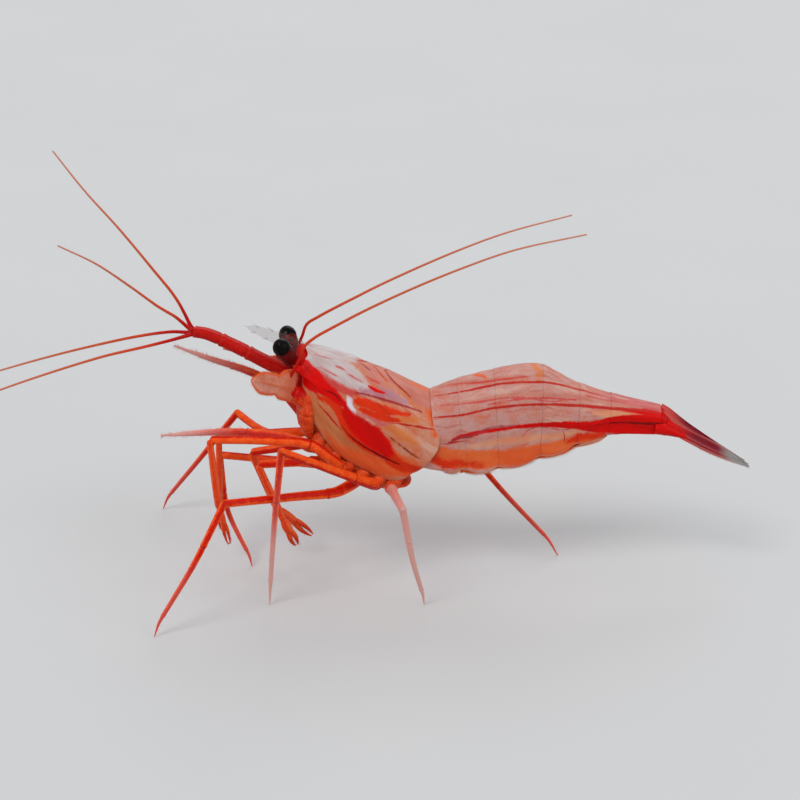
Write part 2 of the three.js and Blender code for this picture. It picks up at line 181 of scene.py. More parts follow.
def welded(node):
    """A CAD node's points in millimetres, each once, and the set of neighbours of each."""
    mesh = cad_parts[node].data
    coordinates = np.empty(len(mesh.vertices) * 3)
    mesh.vertices.foreach_get("co", coordinates)
    rounded = np.round(coordinates.reshape(-1, 3) / MM, 3)
    points, number = np.unique(rounded, axis=0, return_inverse=True)
    near = [set() for _ in points]
    for edge in mesh.edges:
        one, other = number.ravel()[list(edge.vertices)]
        near[one].add(other)
        near[other].add(one)
    return points, near


def spread(start, near):
    """The points met at each number of steps from a start point."""
    levels, met = [[start]], {start}
    while levels[-1]:
        levels.append(sorted(set().union(*(near[one] for one in levels[-1])) - met))
        met.update(levels[-1])
    return levels[:-1]


def round_trip(level, near):
    """The points of one ring in order round it."""
    ring, left = [level[0]], set(level[1:])
    while left:
        ring.append(min(near[ring[-1]] & left))
        left.remove(ring[-1])
    return ring


def aligned(ring, previous):
    """A ring turned, and reversed if need be, so that its points follow those of the one before."""
    target = previous - previous.mean(0) + ring.mean(0)
    choices = [np.roll(way, turn, axis=0) for way in (ring, ring[::-1]) for turn in range(len(ring))]
    return min(choices, key=lambda choice: np.sum((choice - target) ** 2))


def rings_of(node, root):
    """The rings of a lofted CAD node, from the end nearest to root.

    Point 0 of the first ring is its highest, and the next ones go to the -Y side.
    """
    points, near = welded(node)
    found = []
    for start in range(len(points)):
        levels = spread(start, near)
        if len(levels) > 3 and len(levels[-1]) == len({len(level) for level in levels[1:-1]}) == 1:
            found.append(levels)
    levels = min(found, key=lambda choice: np.linalg.norm(points[choice[0][0]] - root))
    rings = [points[round_trip(level, near)] for level in levels[1:-1]]
    first = np.roll(rings[0], -int(np.argmax(rings[0][:, 2])), axis=0)
    if first[1][1] > first[-1][1]:
        first = np.roll(first[::-1], 1, axis=0)
    ordered = [first]
    for ring in rings[1:]:
        ordered.append(aligned(ring, ordered[-1]))
    return np.array(ordered)


def line_of(node, root):
    """The centre line of a round limb or feeler."""
    return rings_of(node, root).mean(1)


# --- Building pieces ---


def quads(number):
    """The faces of a grid of numbered points."""
    corners = (number[:-1, :-1], number[:-1, 1:], number[1:, 1:], number[1:, :-1])
    return np.stack(corners, axis=-1).reshape(-1, 4)


def flattened(values, size):
    """Each value spread over a grid of this size, as one row."""
    return {name: np.broadcast_to(value, size).reshape(-1) for name, value in values.items()}


class Shape:
    """The surfaces of one piece, with a number per point for each thing that its paint reads."""

    def __init__(self):
        self.points, self.faces, self.values = [], [], []

    def add(self, points, faces, **values):
        first = sum(len(part) for part in self.points)
        points = np.asarray(points, float).reshape(-1, 3)
        self.points.append(points)
        for block in faces:
            self.faces.extend((block + first).tolist())
        self.values.append(flattened(values, len(points)))

    def add_rings(self, rings, ends=None, **values):
        """A closed surface through rings of points, drawn to a point at each end."""
        rows, columns = rings.shape[:2]
        number = np.arange(rows * columns).reshape(rows, columns)
        number = np.concatenate([number, number[:, :1]], axis=1)
        ends = (rings[0].mean(0), rings[-1].mean(0)) if ends is None else ends
        fans = [
            np.stack([np.full(columns, rows * columns + tip), number[row, :-1], number[row, 1:]], axis=-1)
            for tip, row in enumerate((0, -1))
        ]
        flat = flattened(values, (rows, columns))
        flat = {name: np.append(value, value[[0, -columns]]) for name, value in flat.items()}
        self.add(np.concatenate([rings.reshape(-1, 3), ends]), [quads(number), *fans], **flat)

    def add_plate(self, outer, thickness, **values):
        """A plate whose outer surface is given, with the same paint on both faces."""
        top = np.arange(outer[..., 0].size).reshape(outer.shape[:2])
        rim = np.concatenate([top[0], top[1:, -1], top[-1, -2::-1], top[-2::-1, 0]])
        under = rim + top.size
        wall = np.stack([rim[:-1], under[:-1], under[1:], rim[1:]], axis=-1)
        flat = {name: np.tile(value, 2) for name, value in flattened(values, top.shape).items()}
        inner = outer - grid_normals(outer) * thickness
        self.add(np.stack([outer, inner]), [quads(top), quads(top + top.size), wall], **flat)

    def add_hairs(self, roots, directions, lengths, width, droop=0.15, **values):
        """Fine tapering bristles, bent a little downward towards the tip."""
        directions = unit(directions)
        lengths = np.broadcast_to(lengths, len(roots))[:, None]
        helper = np.where(np.abs(directions[:, 2:]) > 0.9, [[1.0, 0, 0]], [UP])
        across = unit(np.cross(directions, helper))
        over = np.cross(directions, across)
        points = []
        for share, thickness in ((0, 1.0), (0.5, 0.7)):
            middle = roots + directions * lengths * share - UP * lengths * droop * share**2
            for angle in (0, 2 * math.pi / 3, 4 * math.pi / 3):
                aside = math.cos(angle) * across + math.sin(angle) * over
                points.append(middle + width * thickness * aside)
        points.append(roots + directions * lengths - UP * lengths * droop)
        sides = ((0, 1, 4, 3), (1, 2, 5, 4), (2, 0, 3, 5), (3, 4, 6), (4, 5, 6), (5, 3, 6), (2, 1, 0))
        start = np.arange(len(roots))[:, None] * len(points)
        flat = flattened(values, len(roots)).items()
        flat = {name: np.repeat(value, len(points)) for name, value in flat}
        self.add(np.stack(points, axis=1), [start + side for side in sides], **flat)

    def add_spine(self, root, tip, radius, flatten=1.0, **values):
        """A small tooth or spine that tapers to a point."""
        share = shares(8)
        line = mixed(root, tip, share[:, None])
        rings = tube(line, radius * (1 - share) ** 0.8 + 0.012, 8, UP, flatten)
        self.add_rings(rings, (root, tip), **values)

    def make(self, name, material, replaces=()):
        """The finished piece, riding with the body and standing for the CAD nodes that it replaces."""
        mesh = bpy.data.meshes.new(name)
        mesh.from_pydata((np.concatenate(self.points) * MM).tolist(), [], self.faces)
        for value_name in sorted(set().union(*self.values)):
            parts = zip(self.points, self.values)
            numbers = [np.broadcast_to(part.get(value_name, 0.0), len(points)) for points, part in parts]
            attribute = mesh.attributes.new(value_name, "FLOAT", "POINT")
            attribute.data.foreach_set("value", np.concatenate(numbers).astype(np.float32))
        work = bmesh.new()
        work.from_mesh(mesh)
        bmesh.ops.recalc_face_normals(work, faces=work.faces)
        work.to_mesh(mesh)
        work.free()
        mesh.shade_smooth()
        mesh.materials.append(material)
        piece = placed(name, mesh, np.zeros(3), (0, 0, 0))
        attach(piece, "root")
        if replaces:
            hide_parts(*replaces)


def tube(line, radii, sides, first_side=(0, -1, 0), flatten=1.0):
    """Rings of points round a line, which turn as little as they can from first_side."""
    forward = unit(np.gradient(line, axis=0))
    across = np.empty_like(line)
    side = np.array(first_side, float)
    for i, ahead in enumerate(forward):
        across[i] = side = unit(side - ahead * (side @ ahead))
    over = np.cross(forward, across)
    angles = np.linspace(0, 2 * math.pi, sides, endpoint=False)[None, :, None]
    radii = np.broadcast_to(radii, len(line))[:, None, None]
    way = np.cos(angles) * across[:, None] + flatten * np.sin(angles) * over[:, None]
    return line[:, None] + radii * way


def domed(rings, first, last):
    """Rings with a dome of the given height added at each end."""

    def dome(ring, height, outward):
        swell = np.linspace(0, 0.998, 14)[1:, None, None]
        middle = ring.mean(0)
        return middle + np.sqrt(1 - swell**2) * (ring - middle) + height * swell * outward

    middles = rings.mean(1)
    front = dome(rings[0], first, unit(middles[0] - middles[1]))
    rear = dome(rings[-1], last, unit(middles[-1] - middles[-2]))
    return np.concatenate([front[::-1], rings, rear])


def rod(line, width, sides, first, last, flatten=1.0):
    """A round body along a line, with a dome of the given height at each end."""
    return domed(tube(line, width, sides, flatten=flatten), first, last)


def refined(rings, count):
    """The same rings with that many points round each."""
    at = np.linspace(0, rings.shape[1], count, endpoint=False)
    return np.stack([curve(ring, at, closed=True) for ring in rings])


def grid_normals(grid):
    """Directions out of an open surface whose rows run backward and columns from left to right."""
    return unit(np.cross(np.gradient(grid, axis=1), np.gradient(grid, axis=0)))


# --- Paint ---


def rgb(*colour):
    """A colour in the renderer's linear light, from the usual 0 to 255 numbers."""
    linear = [c / 255 / 12.92 if c <= 10 else ((c / 255 + 0.055) / 1.055) ** 2.4 for c in colour]
    return (*linear, 1.0)


class Paint:
    """One procedural material, whose tone is built up coat by coat."""

    def __init__(self, name, **settings):
        self.material = bpy.data.materials.new(name)
        self.material.use_nodes = True
        self.tree = self.material.node_tree
        self.surface = next(node for node in self.tree.nodes if node.type == "BSDF_PRINCIPLED")
        for socket, value in settings.items():
            self.set(socket.replace("_", " "), value)
        self.place = self.node("TexCoord").outputs["Object"]

    def feed(self, socket, value):
        """Links an output to a socket, or sets the socket where the value is plain."""
        if isinstance(value, bpy.types.NodeSocket):
            self.tree.links.new(value, socket)
        else:
            socket.default_value = value

    def set(self, name, value):
        self.feed(self.surface.inputs[name], value)

    def node(self, kind, inputs=(), **settings):
        """A new node with these settings, and with these values for its inputs."""
        node = self.tree.nodes.new(f"ShaderNode{kind}")
        for name, value in settings.items():
            setattr(node, name, value)
        for key, value in dict(inputs).items():
            self.feed(node.inputs[key], value)
        return node

    def value(self, name):
        """A number that the piece's points carry."""
        return self.node("Attribute", attribute_name=name).outputs["Fac"]

    def math(self, operation, first, second=0.0):
        return self.node("Math", {0: first, 1: second}, operation=operation).outputs[0]

    def size_of(self, name):
        """A number that the points carry, with no sign."""
        return self.math("ABSOLUTE", self.value(name))

    def noise(self, size, detail=3.0, rough=0.55, where=None):
        """Cloudy values about 0.5, with features about size millimetres across."""
        where = self.place if where is None else where
        inputs = {"Vector": where, "Scale": 1 / (size * MM), "Detail": detail, "Roughness": rough}
        return self.node("TexNoise", inputs).outputs["Fac"]

    def wander(self, value, strength):
        """A value about 0.5 turned into one about 0, so many times as strong."""
        return self.math("MULTIPLY", self.math("SUBTRACT", value, 0.5), strength)

    def streaks(self, along, across, size, ratio):
        """Noise drawn out along the body; along and across are places in millimetres."""
        sideways = self.node("SeparateXYZ", {0: self.place}).outputs[1]
        inputs = {
            0: self.math("MULTIPLY", along, MM / ratio),
            1: self.math("MULTIPLY", across, MM),
            2: self.math("MULTIPLY", sideways, 0.3),
        }
        return self.noise(size, 4, 0.6, self.node("CombineXYZ", inputs).outputs[0])

    def cells(self, size):
        """0 at the middle of each small cell, rising to its edge."""
        return self.node("TexVoronoi", {"Vector": self.place, "Scale": 1 / (size * MM)}).outputs["Distance"]

    def between(self, value, low, high, at_low=0.0, at_high=1.0):
        """at_low below low, at_high above high, and smooth between them."""
        inputs = dict(enumerate((value, low, high, at_low, at_high)))
        return self.node("MapRange", inputs, interpolation_type="SMOOTHSTEP").outputs[0]

    def mix(self, share, first, second):
        return self.node("Mix", {0: share, 6: first, 7: second}, data_type="RGBA").outputs[2]

    def over(self, colour, value, low=None, high=None, at_low=0.0, at_high=1.0):
        """Another coat of colour, as strong as the value, or as a value between low and high makes it."""
        value = self.value(value) if isinstance(value, str) else value
        share = value if low is None else self.between(value, low, high, at_low, at_high)
        self.tone = self.mix(share, self.tone, rgb(*colour))

    def bumps(self, height, depth):
        """Fine relief, depth millimetres from the lowest to the highest value."""
        normal = self.node("Bump", {"Distance": depth * MM, "Height": height}).outputs["Normal"]
        self.set("Normal", normal)
        if self.surface.inputs["Coat Weight"].default_value > 0:
            self.set("Coat Normal", normal)

    def finished(self):
        self.set("Base Color", self.tone)
        return self.material


# --- The body's cages, read from the CAD ---

AHEAD = np.array([-1000, 0, 0])
BEAK_RINGS = 4
RING_TURNS = 10  # points of a body ring from the back to the belly
SKIN_SHARE = 0.92  # the skin's size within the shell
# How far the finished back rises above the CAD's: the places, as millimetres behind the orbit or
# segments of the tail, and the rise at each.
BACK_RISE = ((0, 2, 4, 6, 8, 10, 12, 13.5), (0.1, 0.4, 0.5, 0.3, 0.12, 0, -0.28, -0.42))
TAIL_RISE = (
    (0, 0.5, 1, 2.6, 3.0, 3.2, 3.6, 4.2, 5, 6),
    (-0.3, -0.08, 0, 0, -0.1, -0.28, -0.25, -0.15, -0.1, 0),
)


def raised(cage, heights):
    """A cage with its back raised by so many millimetres at each ring, fading out down its sides."""
    around = np.arange(2 * RING_TURNS)
    turn = np.minimum(around, 2 * RING_TURNS - around) / RING_TURNS
    outward = unit(cage - cage.mean(1, keepdims=True))
    return cage + (heights[:, None] * (1 - step_between(0.1, 0.5, turn)))[..., None] * outward


def tail_cage_from_segments():
    """The rings of the six tail segments as one run, a quarter of a segment apart."""
    rings = list(rings_of("abdomen_1", AHEAD))
    for index in range(2, 7):
        segment = rings_of(f"abdomen_{index}", AHEAD)
        rings[-1] = (rings[-1] + segment[0]) / 2
        rings.extend(segment[1:])
    return raised(np.array(rings), np.interp(np.arange(len(rings)) / 4, *TAIL_RISE))


MIDDLE_Y = centre_of("telson")[1]
beak_rings, carapace_cage = np.split(rings_of("carapace", AHEAD), [BEAK_RINGS])
ORBIT = carapace_cage[0][0]
BACKWARD = unit(carapace_cage[-1][0] - ORBIT)
DOWNWARD = np.array([BACKWARD[2], 0, -BACKWARD[0]])
carapace_stations = (carapace_cage[:, 0] - ORBIT) @ BACKWARD
carapace_cage = raised(carapace_cage, np.interp(carapace_stations, *BACK_RISE))
tail_cage = tail_cage_from_segments()
TAIL_AHEAD = unit(tail_cage[0].mean(0) - tail_cage[4].mean(0))


def on_cage(cage, places, turns):
    """Points of a body surface at places along it, and turns from the back: 1 is the belly.

    Turns above 0 are on the animal's left, and each place has its own row of turns.
    """
    rows = curve(cage, places)
    turns = np.broadcast_to(turns, (len(rows), np.shape(turns)[-1]))
    return np.stack([curve(row, RING_TURNS * turn, closed=True) for row, turn in zip(rows, turns)])


def carapace_place(back):
    """The place in the carapace's cage so many millimetres behind the orbit."""
    last_step = carapace_stations[-1] - carapace_stations[-2]
    beyond = np.clip(back - carapace_stations[-1], 0, None) / last_step
    return np.interp(back, carapace_stations, np.arange(len(carapace_cage))) + beyond


def on_carapace(back, turn):
    """A point of the carapace, so many millimetres behind the orbit."""
    return on_cage(carapace_cage, [carapace_place(back)], [[turn]])[0, 0]


def on_tail(segment, turn):
    """A point of the tail: segment 0 is its front end and 6 its rear."""
    return on_cage(tail_cage, [4 * segment], [[turn]])[0, 0]


def folded(points):
    """Points with those of the right side moved to their mirror places on the left."""
    left = np.array(points, float)
    left[..., 1] = MIDDLE_Y - np.abs(left[..., 1] - MIDDLE_Y)
    return left


def skin_inside(rings, columns, first, last):
    """A smooth skin a little inside the shell whose rings are given, domed at its ends."""
    middles = rings.mean(1, keepdims=True)
    return domed(refined(mixed(middles, rings, SKIN_SHARE), columns), first, last)


# --- Markings ---

# Each mark has its widths from start to end and the softness of its edge in millimetres, and its path:
# places on the left side as (millimetres behind the orbit, turn) or (tail segment, turn).
CARAPACE_MARKS = {
    "grey": (
        ((1.6, 2.0, 2.0, 1.6, 1.0), 0.5, ((0.3, 0.04), (1.8, 0.03), (3.2, 0.04), (4.6, 0.03), (5.6, 0.04))),
        ((1.4, 2.2, 2.6, 2.8, 2.4, 1.4), 0.6, (
            (0.2, 0.18), (1.4, 0.2), (2.8, 0.19), (4.4, 0.19), (5.9, 0.22), (7.1, 0.24),
        )),
    ),
    "tan": (
        ((1.2, 2.4, 2.8, 2.6, 2.2), 0.6, ((1.2, 0.57), (3.0, 0.6), (5.1, 0.65), (7.4, 0.69), (9.4, 0.7))),
    ),
    "orange": (
        ((0.5, 1.6, 2.2, 2.4, 1.8), 0.7, ((4.2, 0.75), (6.8, 0.76), (9.0, 0.75), (11.4, 0.72), (13.4, 0.68))),
        ((0.8, 0.9, 0.8), 0.5, ((12.2, 0.03), (13.6, 0.05), (14.2, 0.14))),
        ((0.6, 1.0, 0.8, 0.5), 0.5, ((13.4, 0.12), (13.7, 0.2), (13.9, 0.3), (14.0, 0.4))),
        ((0.5, 1.3, 1.5, 1.1), 0.5, ((10.4, 0.56), (11.5, 0.585), (12.5, 0.605), (13.3, 0.61))),
    ),
    "ochre": (
        ((0.6, 1.1, 1.0, 0.5), 0.6, ((10.2, 0.45), (11.2, 0.455), (12.2, 0.475), (13.0, 0.49))),
        ((0.5, 0.9, 0.5), 0.5, ((10.9, 0.37), (11.8, 0.355), (12.6, 0.34))),
        ((0.3, 0.4, 0.3), 0.25, ((8.9, 0.02), (10.4, 0.12), (12.0, 0.2))),
        ((0.1, 0.2, 0.2, 0.1), 0.16, ((8.1, 0.02), (8.9, 0.1), (9.8, 0.17), (11.4, 0.22))),
    ),
    "salmon": (
        ((0.9, 1.6, 1.8, 1.4), 0.6, ((6.2, 0.05), (7.6, 0.1), (8.8, 0.14), (9.8, 0.17))),
        ((1.0, 1.8, 2.2, 2.2), 0.7, ((7.8, 0.02), (9.4, 0.06), (11.4, 0.1), (13.6, 0.14))),
    ),
    "lilac": (
        ((0.4, 0.9, 1.0, 0.5), 0.75, ((7.0, 0.275), (8.6, 0.245), (10.0, 0.23), (11.5, 0.24))),
    ),
    "pink": (
        ((0.9, 1.1, 1.0, 0.6), 0.5, ((1.6, 0.31), (3.1, 0.335), (4.8, 0.33), (6.6, 0.31))),
        ((0.14, 0.34, 0.14), 0.18, ((7.0, 0.15), (7.7, 0.162), (8.6, 0.17))),
    ),
    "vermilion": (
        ((0.5, 1.1, 1.5, 1.5, 1.3, 1.0), 0.4, (
            (2.6, 0.5), (4.2, 0.47), (5.7, 0.5), (7.4, 0.56), (9.2, 0.6), (10.8, 0.62),
        )),
        ((0.7, 1.1, 1.1, 0.7, 0.3), 0.3, (
            (6.9, 0.355), (8.2, 0.35), (9.6, 0.35), (10.9, 0.335), (12.0, 0.32),
        )),
        ((0.5, 0.9, 0.9, 0.4), 0.3, ((7.5, 0.4), (8.8, 0.4), (10.0, 0.4), (11.2, 0.38))),
        ((0.6, 1.4, 1.5, 0.9), 0.6, ((10.2, 0.58), (11.0, 0.6), (11.8, 0.62), (12.6, 0.635))),
        ((0.6, 1.3, 1.5, 0.9), 0.5, ((10.8, 0.62), (12.0, 0.645), (13.0, 0.655), (13.7, 0.63))),
    ),
    "crimson": (
        ((2.2, 2.4, 1.7, 1.2, 1.0, 0.7), 0.3, (
            (-0.2, 0.4), (0.6, 0.405), (1.8, 0.4), (3.0, 0.4), (4.4, 0.405), (5.9, 0.43),
        )),
        ((0.6, 0.9, 0.6), 0.35, ((0.5, 0.5), (1.4, 0.475), (2.6, 0.45))),
        ((0.8, 1.5, 2.3, 2.6, 2.1, 1.0), 0.55, (
            (5.9, 0.44), (6.8, 0.49), (8.1, 0.52), (9.4, 0.54), (10.5, 0.56), (11.4, 0.59),
        )),
        ((0.2, 0.42, 0.3), 0.12, ((7.6, 0.222), (8.4, 0.232), (9.3, 0.231))),
    ),
    "dark": (
        ((0.12, 0.3, 0.36, 0.34, 0.2), 0.12, (
            (6.0, 0.56), (7.4, 0.585), (9.0, 0.61), (10.8, 0.625), (12.5, 0.64),
        )),
        ((0.1, 0.2, 0.18, 0.1), 0.12, ((2.6, 0.41), (3.6, 0.395), (4.4, 0.395), (5.2, 0.415))),
        ((0.14, 0.28, 0.26, 0.14), 0.12, ((9.9, 0.48), (11.6, 0.52), (12.8, 0.55), (13.5, 0.562))),
    ),
    "brick": (
        ((0.1, 0.24, 0.26, 0.14), 0.1, ((2.4, 0.55), (4.2, 0.562), (5.9, 0.58), (7.0, 0.59))),
        ((0.2, 0.22, 0.2, 0.14), 0.08, ((10.4, 0.417), (11.6, 0.395), (12.6, 0.38), (13.9, 0.365))),
        ((0.1, 0.2, 0.1), 0.08, ((7.7, 0.0), (8.5, 0.07), (9.3, 0.13))),
    ),
    "mauve": (
        ((0.1, 0.24, 0.28, 0.24, 0.14), 0.12, (
            (6.3, 0.31), (7.4, 0.29), (9.2, 0.28), (11.1, 0.27), (13, 0.267),
        )),
        ((0.22, 0.28, 0.24, 0.12), 0.11, ((8.9, 0.0), (9.8, 0.087), (10.8, 0.131), (12.0, 0.18))),
        ((0.1, 0.28, 0.3, 0.12), 0.13, ((5.5, 0.0), (6.2, 0.02), (6.8, 0.05), (7.4, 0.08))),
    ),
    "rose": (
        ((0.4, 0.42, 0.4, 0.5, 0.3), 0.14, (
            (6.9, 0.44), (8.2, 0.436), (9.1, 0.437), (9.9, 0.447), (10.6, 0.42),
        )),
        ((0.14, 0.34, 0.14), 0.18, ((3.7, 0.172), (4.2, 0.17), (4.8, 0.178))),
        ((0.1, 0.24, 0.22, 0.08), 0.15, ((4.8, 0.196), (5.5, 0.2), (6.2, 0.206), (7.0, 0.215))),
        ((0.06, 0.16, 0.08), 0.15, ((1.2, 0.13), (2.2, 0.125), (3.2, 0.115))),
        ((0.06, 0.18, 0.08), 0.15, ((2.0, 0.24), (3.0, 0.245), (4.2, 0.25))),
    ),
    # A painted highlight: the pale crescent where the grooves meet, on each side of the carapace.
    "white": (
        ((0.2, 0.6, 0.55, 0.42, 0.2), 0.26, (
            (5.75, 0.355), (6.05, 0.375), (6.3, 0.4), (6.6, 0.42), (7.1, 0.437),
        )),
    ),
}
TAIL_MARKS = {
    "orange": (
        ((2.2, 2.4, 2.2, 2.0, 1.6, 1.0), 0.6, (
            (-0.3, 0.73), (0.7, 0.72), (1.7, 0.725), (2.6, 0.74), (3.6, 0.74), (4.7, 0.74),
        )),
        ((0.4, 0.5, 0.3), 0.3, ((1.5, 0.0), (1.7, 0.05), (1.8, 0.1))),
    ),
    "ochre": (
        ((0.6, 0.6, 0.5, 0.2), 0.9, ((2.8, 0.0), (2.9, 0.09), (2.92, 0.17), (2.9, 0.22))),
    ),
    "peach": (
        ((0.3, 0.7, 0.8, 0.7, 0.3), 0.6, ((1.2, 0.635), (2.0, 0.64), (2.8, 0.65), (3.5, 0.655), (4.1, 0.65))),
        ((0.4, 0.9, 0.9, 0.3), 0.4, ((4.5, 0.4), (5.0, 0.425), (5.4, 0.43), (5.8, 0.42))),
    ),
    "salmon": (
        ((0.4, 0.6, 0.6, 0.4), 0.35, ((0.3, 0.03), (1.0, 0.07), (1.8, 0.13), (2.6, 0.16))),
        ((0.3, 0.5, 0.55, 0.5, 0.5, 0.6), 0.35, (
            (0.3, 0.255), (1.43, 0.28), (2.23, 0.3), (3.0, 0.34), (3.8, 0.27), (5.6, 0.2),
        )),
    ),
    "pink": (
        ((0.16, 0.24, 0.22, 0.1), 0.16, ((0.7, 0.04), (1.47, 0.12), (2.16, 0.155), (2.7, 0.17))),
        ((0.1, 0.2, 0.22, 0.2, 0.16), 0.16, (
            (0.3, 0.26), (1.4, 0.291), (2.2, 0.313), (2.98, 0.36), (3.9, 0.29),
        )),
        ((0.08, 0.16, 0.16, 0.08), 0.13, ((1.8, 0.335), (2.6, 0.342), (3.1, 0.38), (3.7, 0.32))),
        ((0.06, 0.16, 0.2, 0.3), 0.2, ((4.2, 0.2), (4.8, 0.19), (5.4, 0.17), (6.05, 0.15))),
    ),
    "vermilion": (
        ((0.8, 1.1, 0.8, 0.3), 0.7, ((-0.45, 0.77), (0.2, 0.78), (0.8, 0.75), (1.5, 0.75))),
        ((0.3, 0.9, 0.7, 0.3), 0.35, ((3.7, 0.73), (4.1, 0.72), (4.5, 0.725), (4.9, 0.74))),
    ),
    "rose": (
        ((0.1, 0.4, 0.7, 1.0), 0.8, ((4.3, 0.1), (5.0, 0.13), (5.6, 0.14), (6.05, 0.12))),
    ),
    "crimson": (
        ((0.3, 0.5, 0.45, 0.45, 0.5, 0.7, 1.0, 1.6, 2.2, 2.5, 2.6), 0.2, (
            (0.65, 0.56), (1.1, 0.54), (1.69, 0.52), (2.61, 0.54), (3.2, 0.565), (3.83, 0.565),
            (4.23, 0.59), (4.7, 0.61), (5.2, 0.62), (5.6, 0.61), (6.05, 0.6),
        )),
        ((0.14, 0.34, 0.3, 0.2), 0.16, ((0.6, 0.575), (0.9, 0.55), (1.2, 0.54), (1.5, 0.53))),
        ((0.1, 0.25, 0.6, 1.7), 0.25, ((4.4, 0.345), (5.0, 0.325), (5.5, 0.3), (6.05, 0.28))),
    ),
    "mauve": (
        ((0.1, 0.3, 0.26, 0.2, 0.1), 0.3, (
            (0.5, 0.585), (0.8, 0.56), (1.3, 0.535), (1.9, 0.515), (2.4, 0.52),
        )),
    ),
    "brick": (
        ((0.2, 0.26, 0.26, 0.28, 0.3, 0.34, 0.26, 0.1), 0.1, (
            (-0.05, 0.366), (1.1, 0.373), (2.0, 0.375), (2.89, 0.405), (3.9, 0.355), (4.89, 0.325),
            (5.5, 0.285), (6, 0.26),
        )),
        ((0.14, 0.24, 0.28, 0.26, 0.26, 0.24, 0.2, 0.2), 0.1, (
            (0.1, 0.14), (1.16, 0.18), (1.76, 0.185), (2.25, 0.197), (2.87, 0.228), (3.43, 0.185),
            (4.03, 0.135), (5.1, 0.12),
        )),
        ((0.1, 0.16, 0.2, 0.1), 0.1, ((-0.1, 0.6), (0.25, 0.605), (0.6, 0.59), (1.2, 0.575))),
        ((0.05, 0.13, 0.14, 0.1, 0.05), 0.07, (
            (2.55, 0.62), (2.7, 0.58), (3.0, 0.592), (3.5, 0.6), (3.9, 0.61),
        )),
        ((0.06, 0.12, 0.06), 0.07, ((3.56, 0.6), (3.64, 0.66), (3.64, 0.73))),
    ),
    "dark": (
        ((0.1, 0.2, 0.26, 0.3), 0.14, ((4.6, 0.58), (5.2, 0.56), (5.7, 0.54), (6.05, 0.52))),
    ),
}
MARK_COLOURS = {  # from the lowest coat to the uppermost
    "grey": (184, 160, 158),
    "tan": (190, 108, 66),
    "orange": (210, 82, 38),
    "salmon": (184, 106, 92),
    "peach": (208, 128, 96),
    "ochre": (198, 104, 58),
    "lilac": (166, 106, 116),
    "pink": (188, 62, 58),
    "vermilion": (214, 47, 12),
    "crimson": (210, 5, 2),
    "brick": (176, 36, 28),
    "mauve": (150, 44, 48),
    "dark": (124, 8, 10),
    "rose": (188, 92, 90),
    # the colour of the painted highlight on the carapace
    "white": (208, 196, 206),
}


def stroke(points, path, widths, soft):
    """1 on a line drawn through the path's points on the left, and its mirror line, else 0."""
    line = evenly(path, int(lengths_along(path)[-1] / 0.3) + 3)
    width = profile(widths, shares(len(line)))
    flat = folded(points).reshape(-1, 3)
    covered = np.zeros(len(flat))
    for start, end, from_width, to_width in zip(line[:-1], line[1:], width[:-1], width[1:]):
        step = end - start
        near = np.flatnonzero(np.abs(flat[:, 0] - start[0]) < 0.5 * from_width + soft + 0.4)
        share = np.clip((flat[near] - start) @ step / (step @ step), 0, 1)
        distance = np.linalg.norm(flat[near] - start - share[:, None] * step, axis=1)
        half = mixed(from_width, to_width, share) / 2
        covered[near] = np.maximum(covered[near], 1 - step_between(half - soft, half + soft, distance))
    return covered.reshape(points.shape[:-1])


def painted(grid, marks, place):
    """How strongly each kind of marking colours each point of a body surface."""

    def layer(strokes):
        drawn = [([place(*at) for at in path], widths, soft) for widths, soft, path in strokes]
        return np.max([stroke(grid, *one) for one in drawn], axis=0)

    return {kind: layer(strokes) for kind, strokes in marks.items()}


# --- Carapace ---

CARAPACE_ROWS = 150
CARAPACE_COLUMNS = 261
CARAPACE_EDGE = 0.81  # the turn at which the carapace's lower edge lies
CARAPACE_LAP = 0.45  # how far the carapace reaches over the tail's first plate
PLATE_THICKNESS = 0.12
GROOVES = {  # drawn as the markings are
    "cervical": (((0.7,), 0.35, ((5.4, 0), (4.9, 0.17), (3.4, 0.36), (2.2, 0.5))),),
    "branchial": (((0.5,), 0.4, ((5, 0.33), (8.5, 0.36), (13.5, 0.38))),),
}
# The places of the beak's teeth along it, from its tip, and the heights of the upper ones.
TEETH_ABOVE = ((0.16, 0.2), (0.3, 0.26), (0.45, 0.3), (0.6, 0.3), (0.76, 0.28), (0.9, 0.2))
TEETH_BELOW = (0.14, 0.28, 0.42)


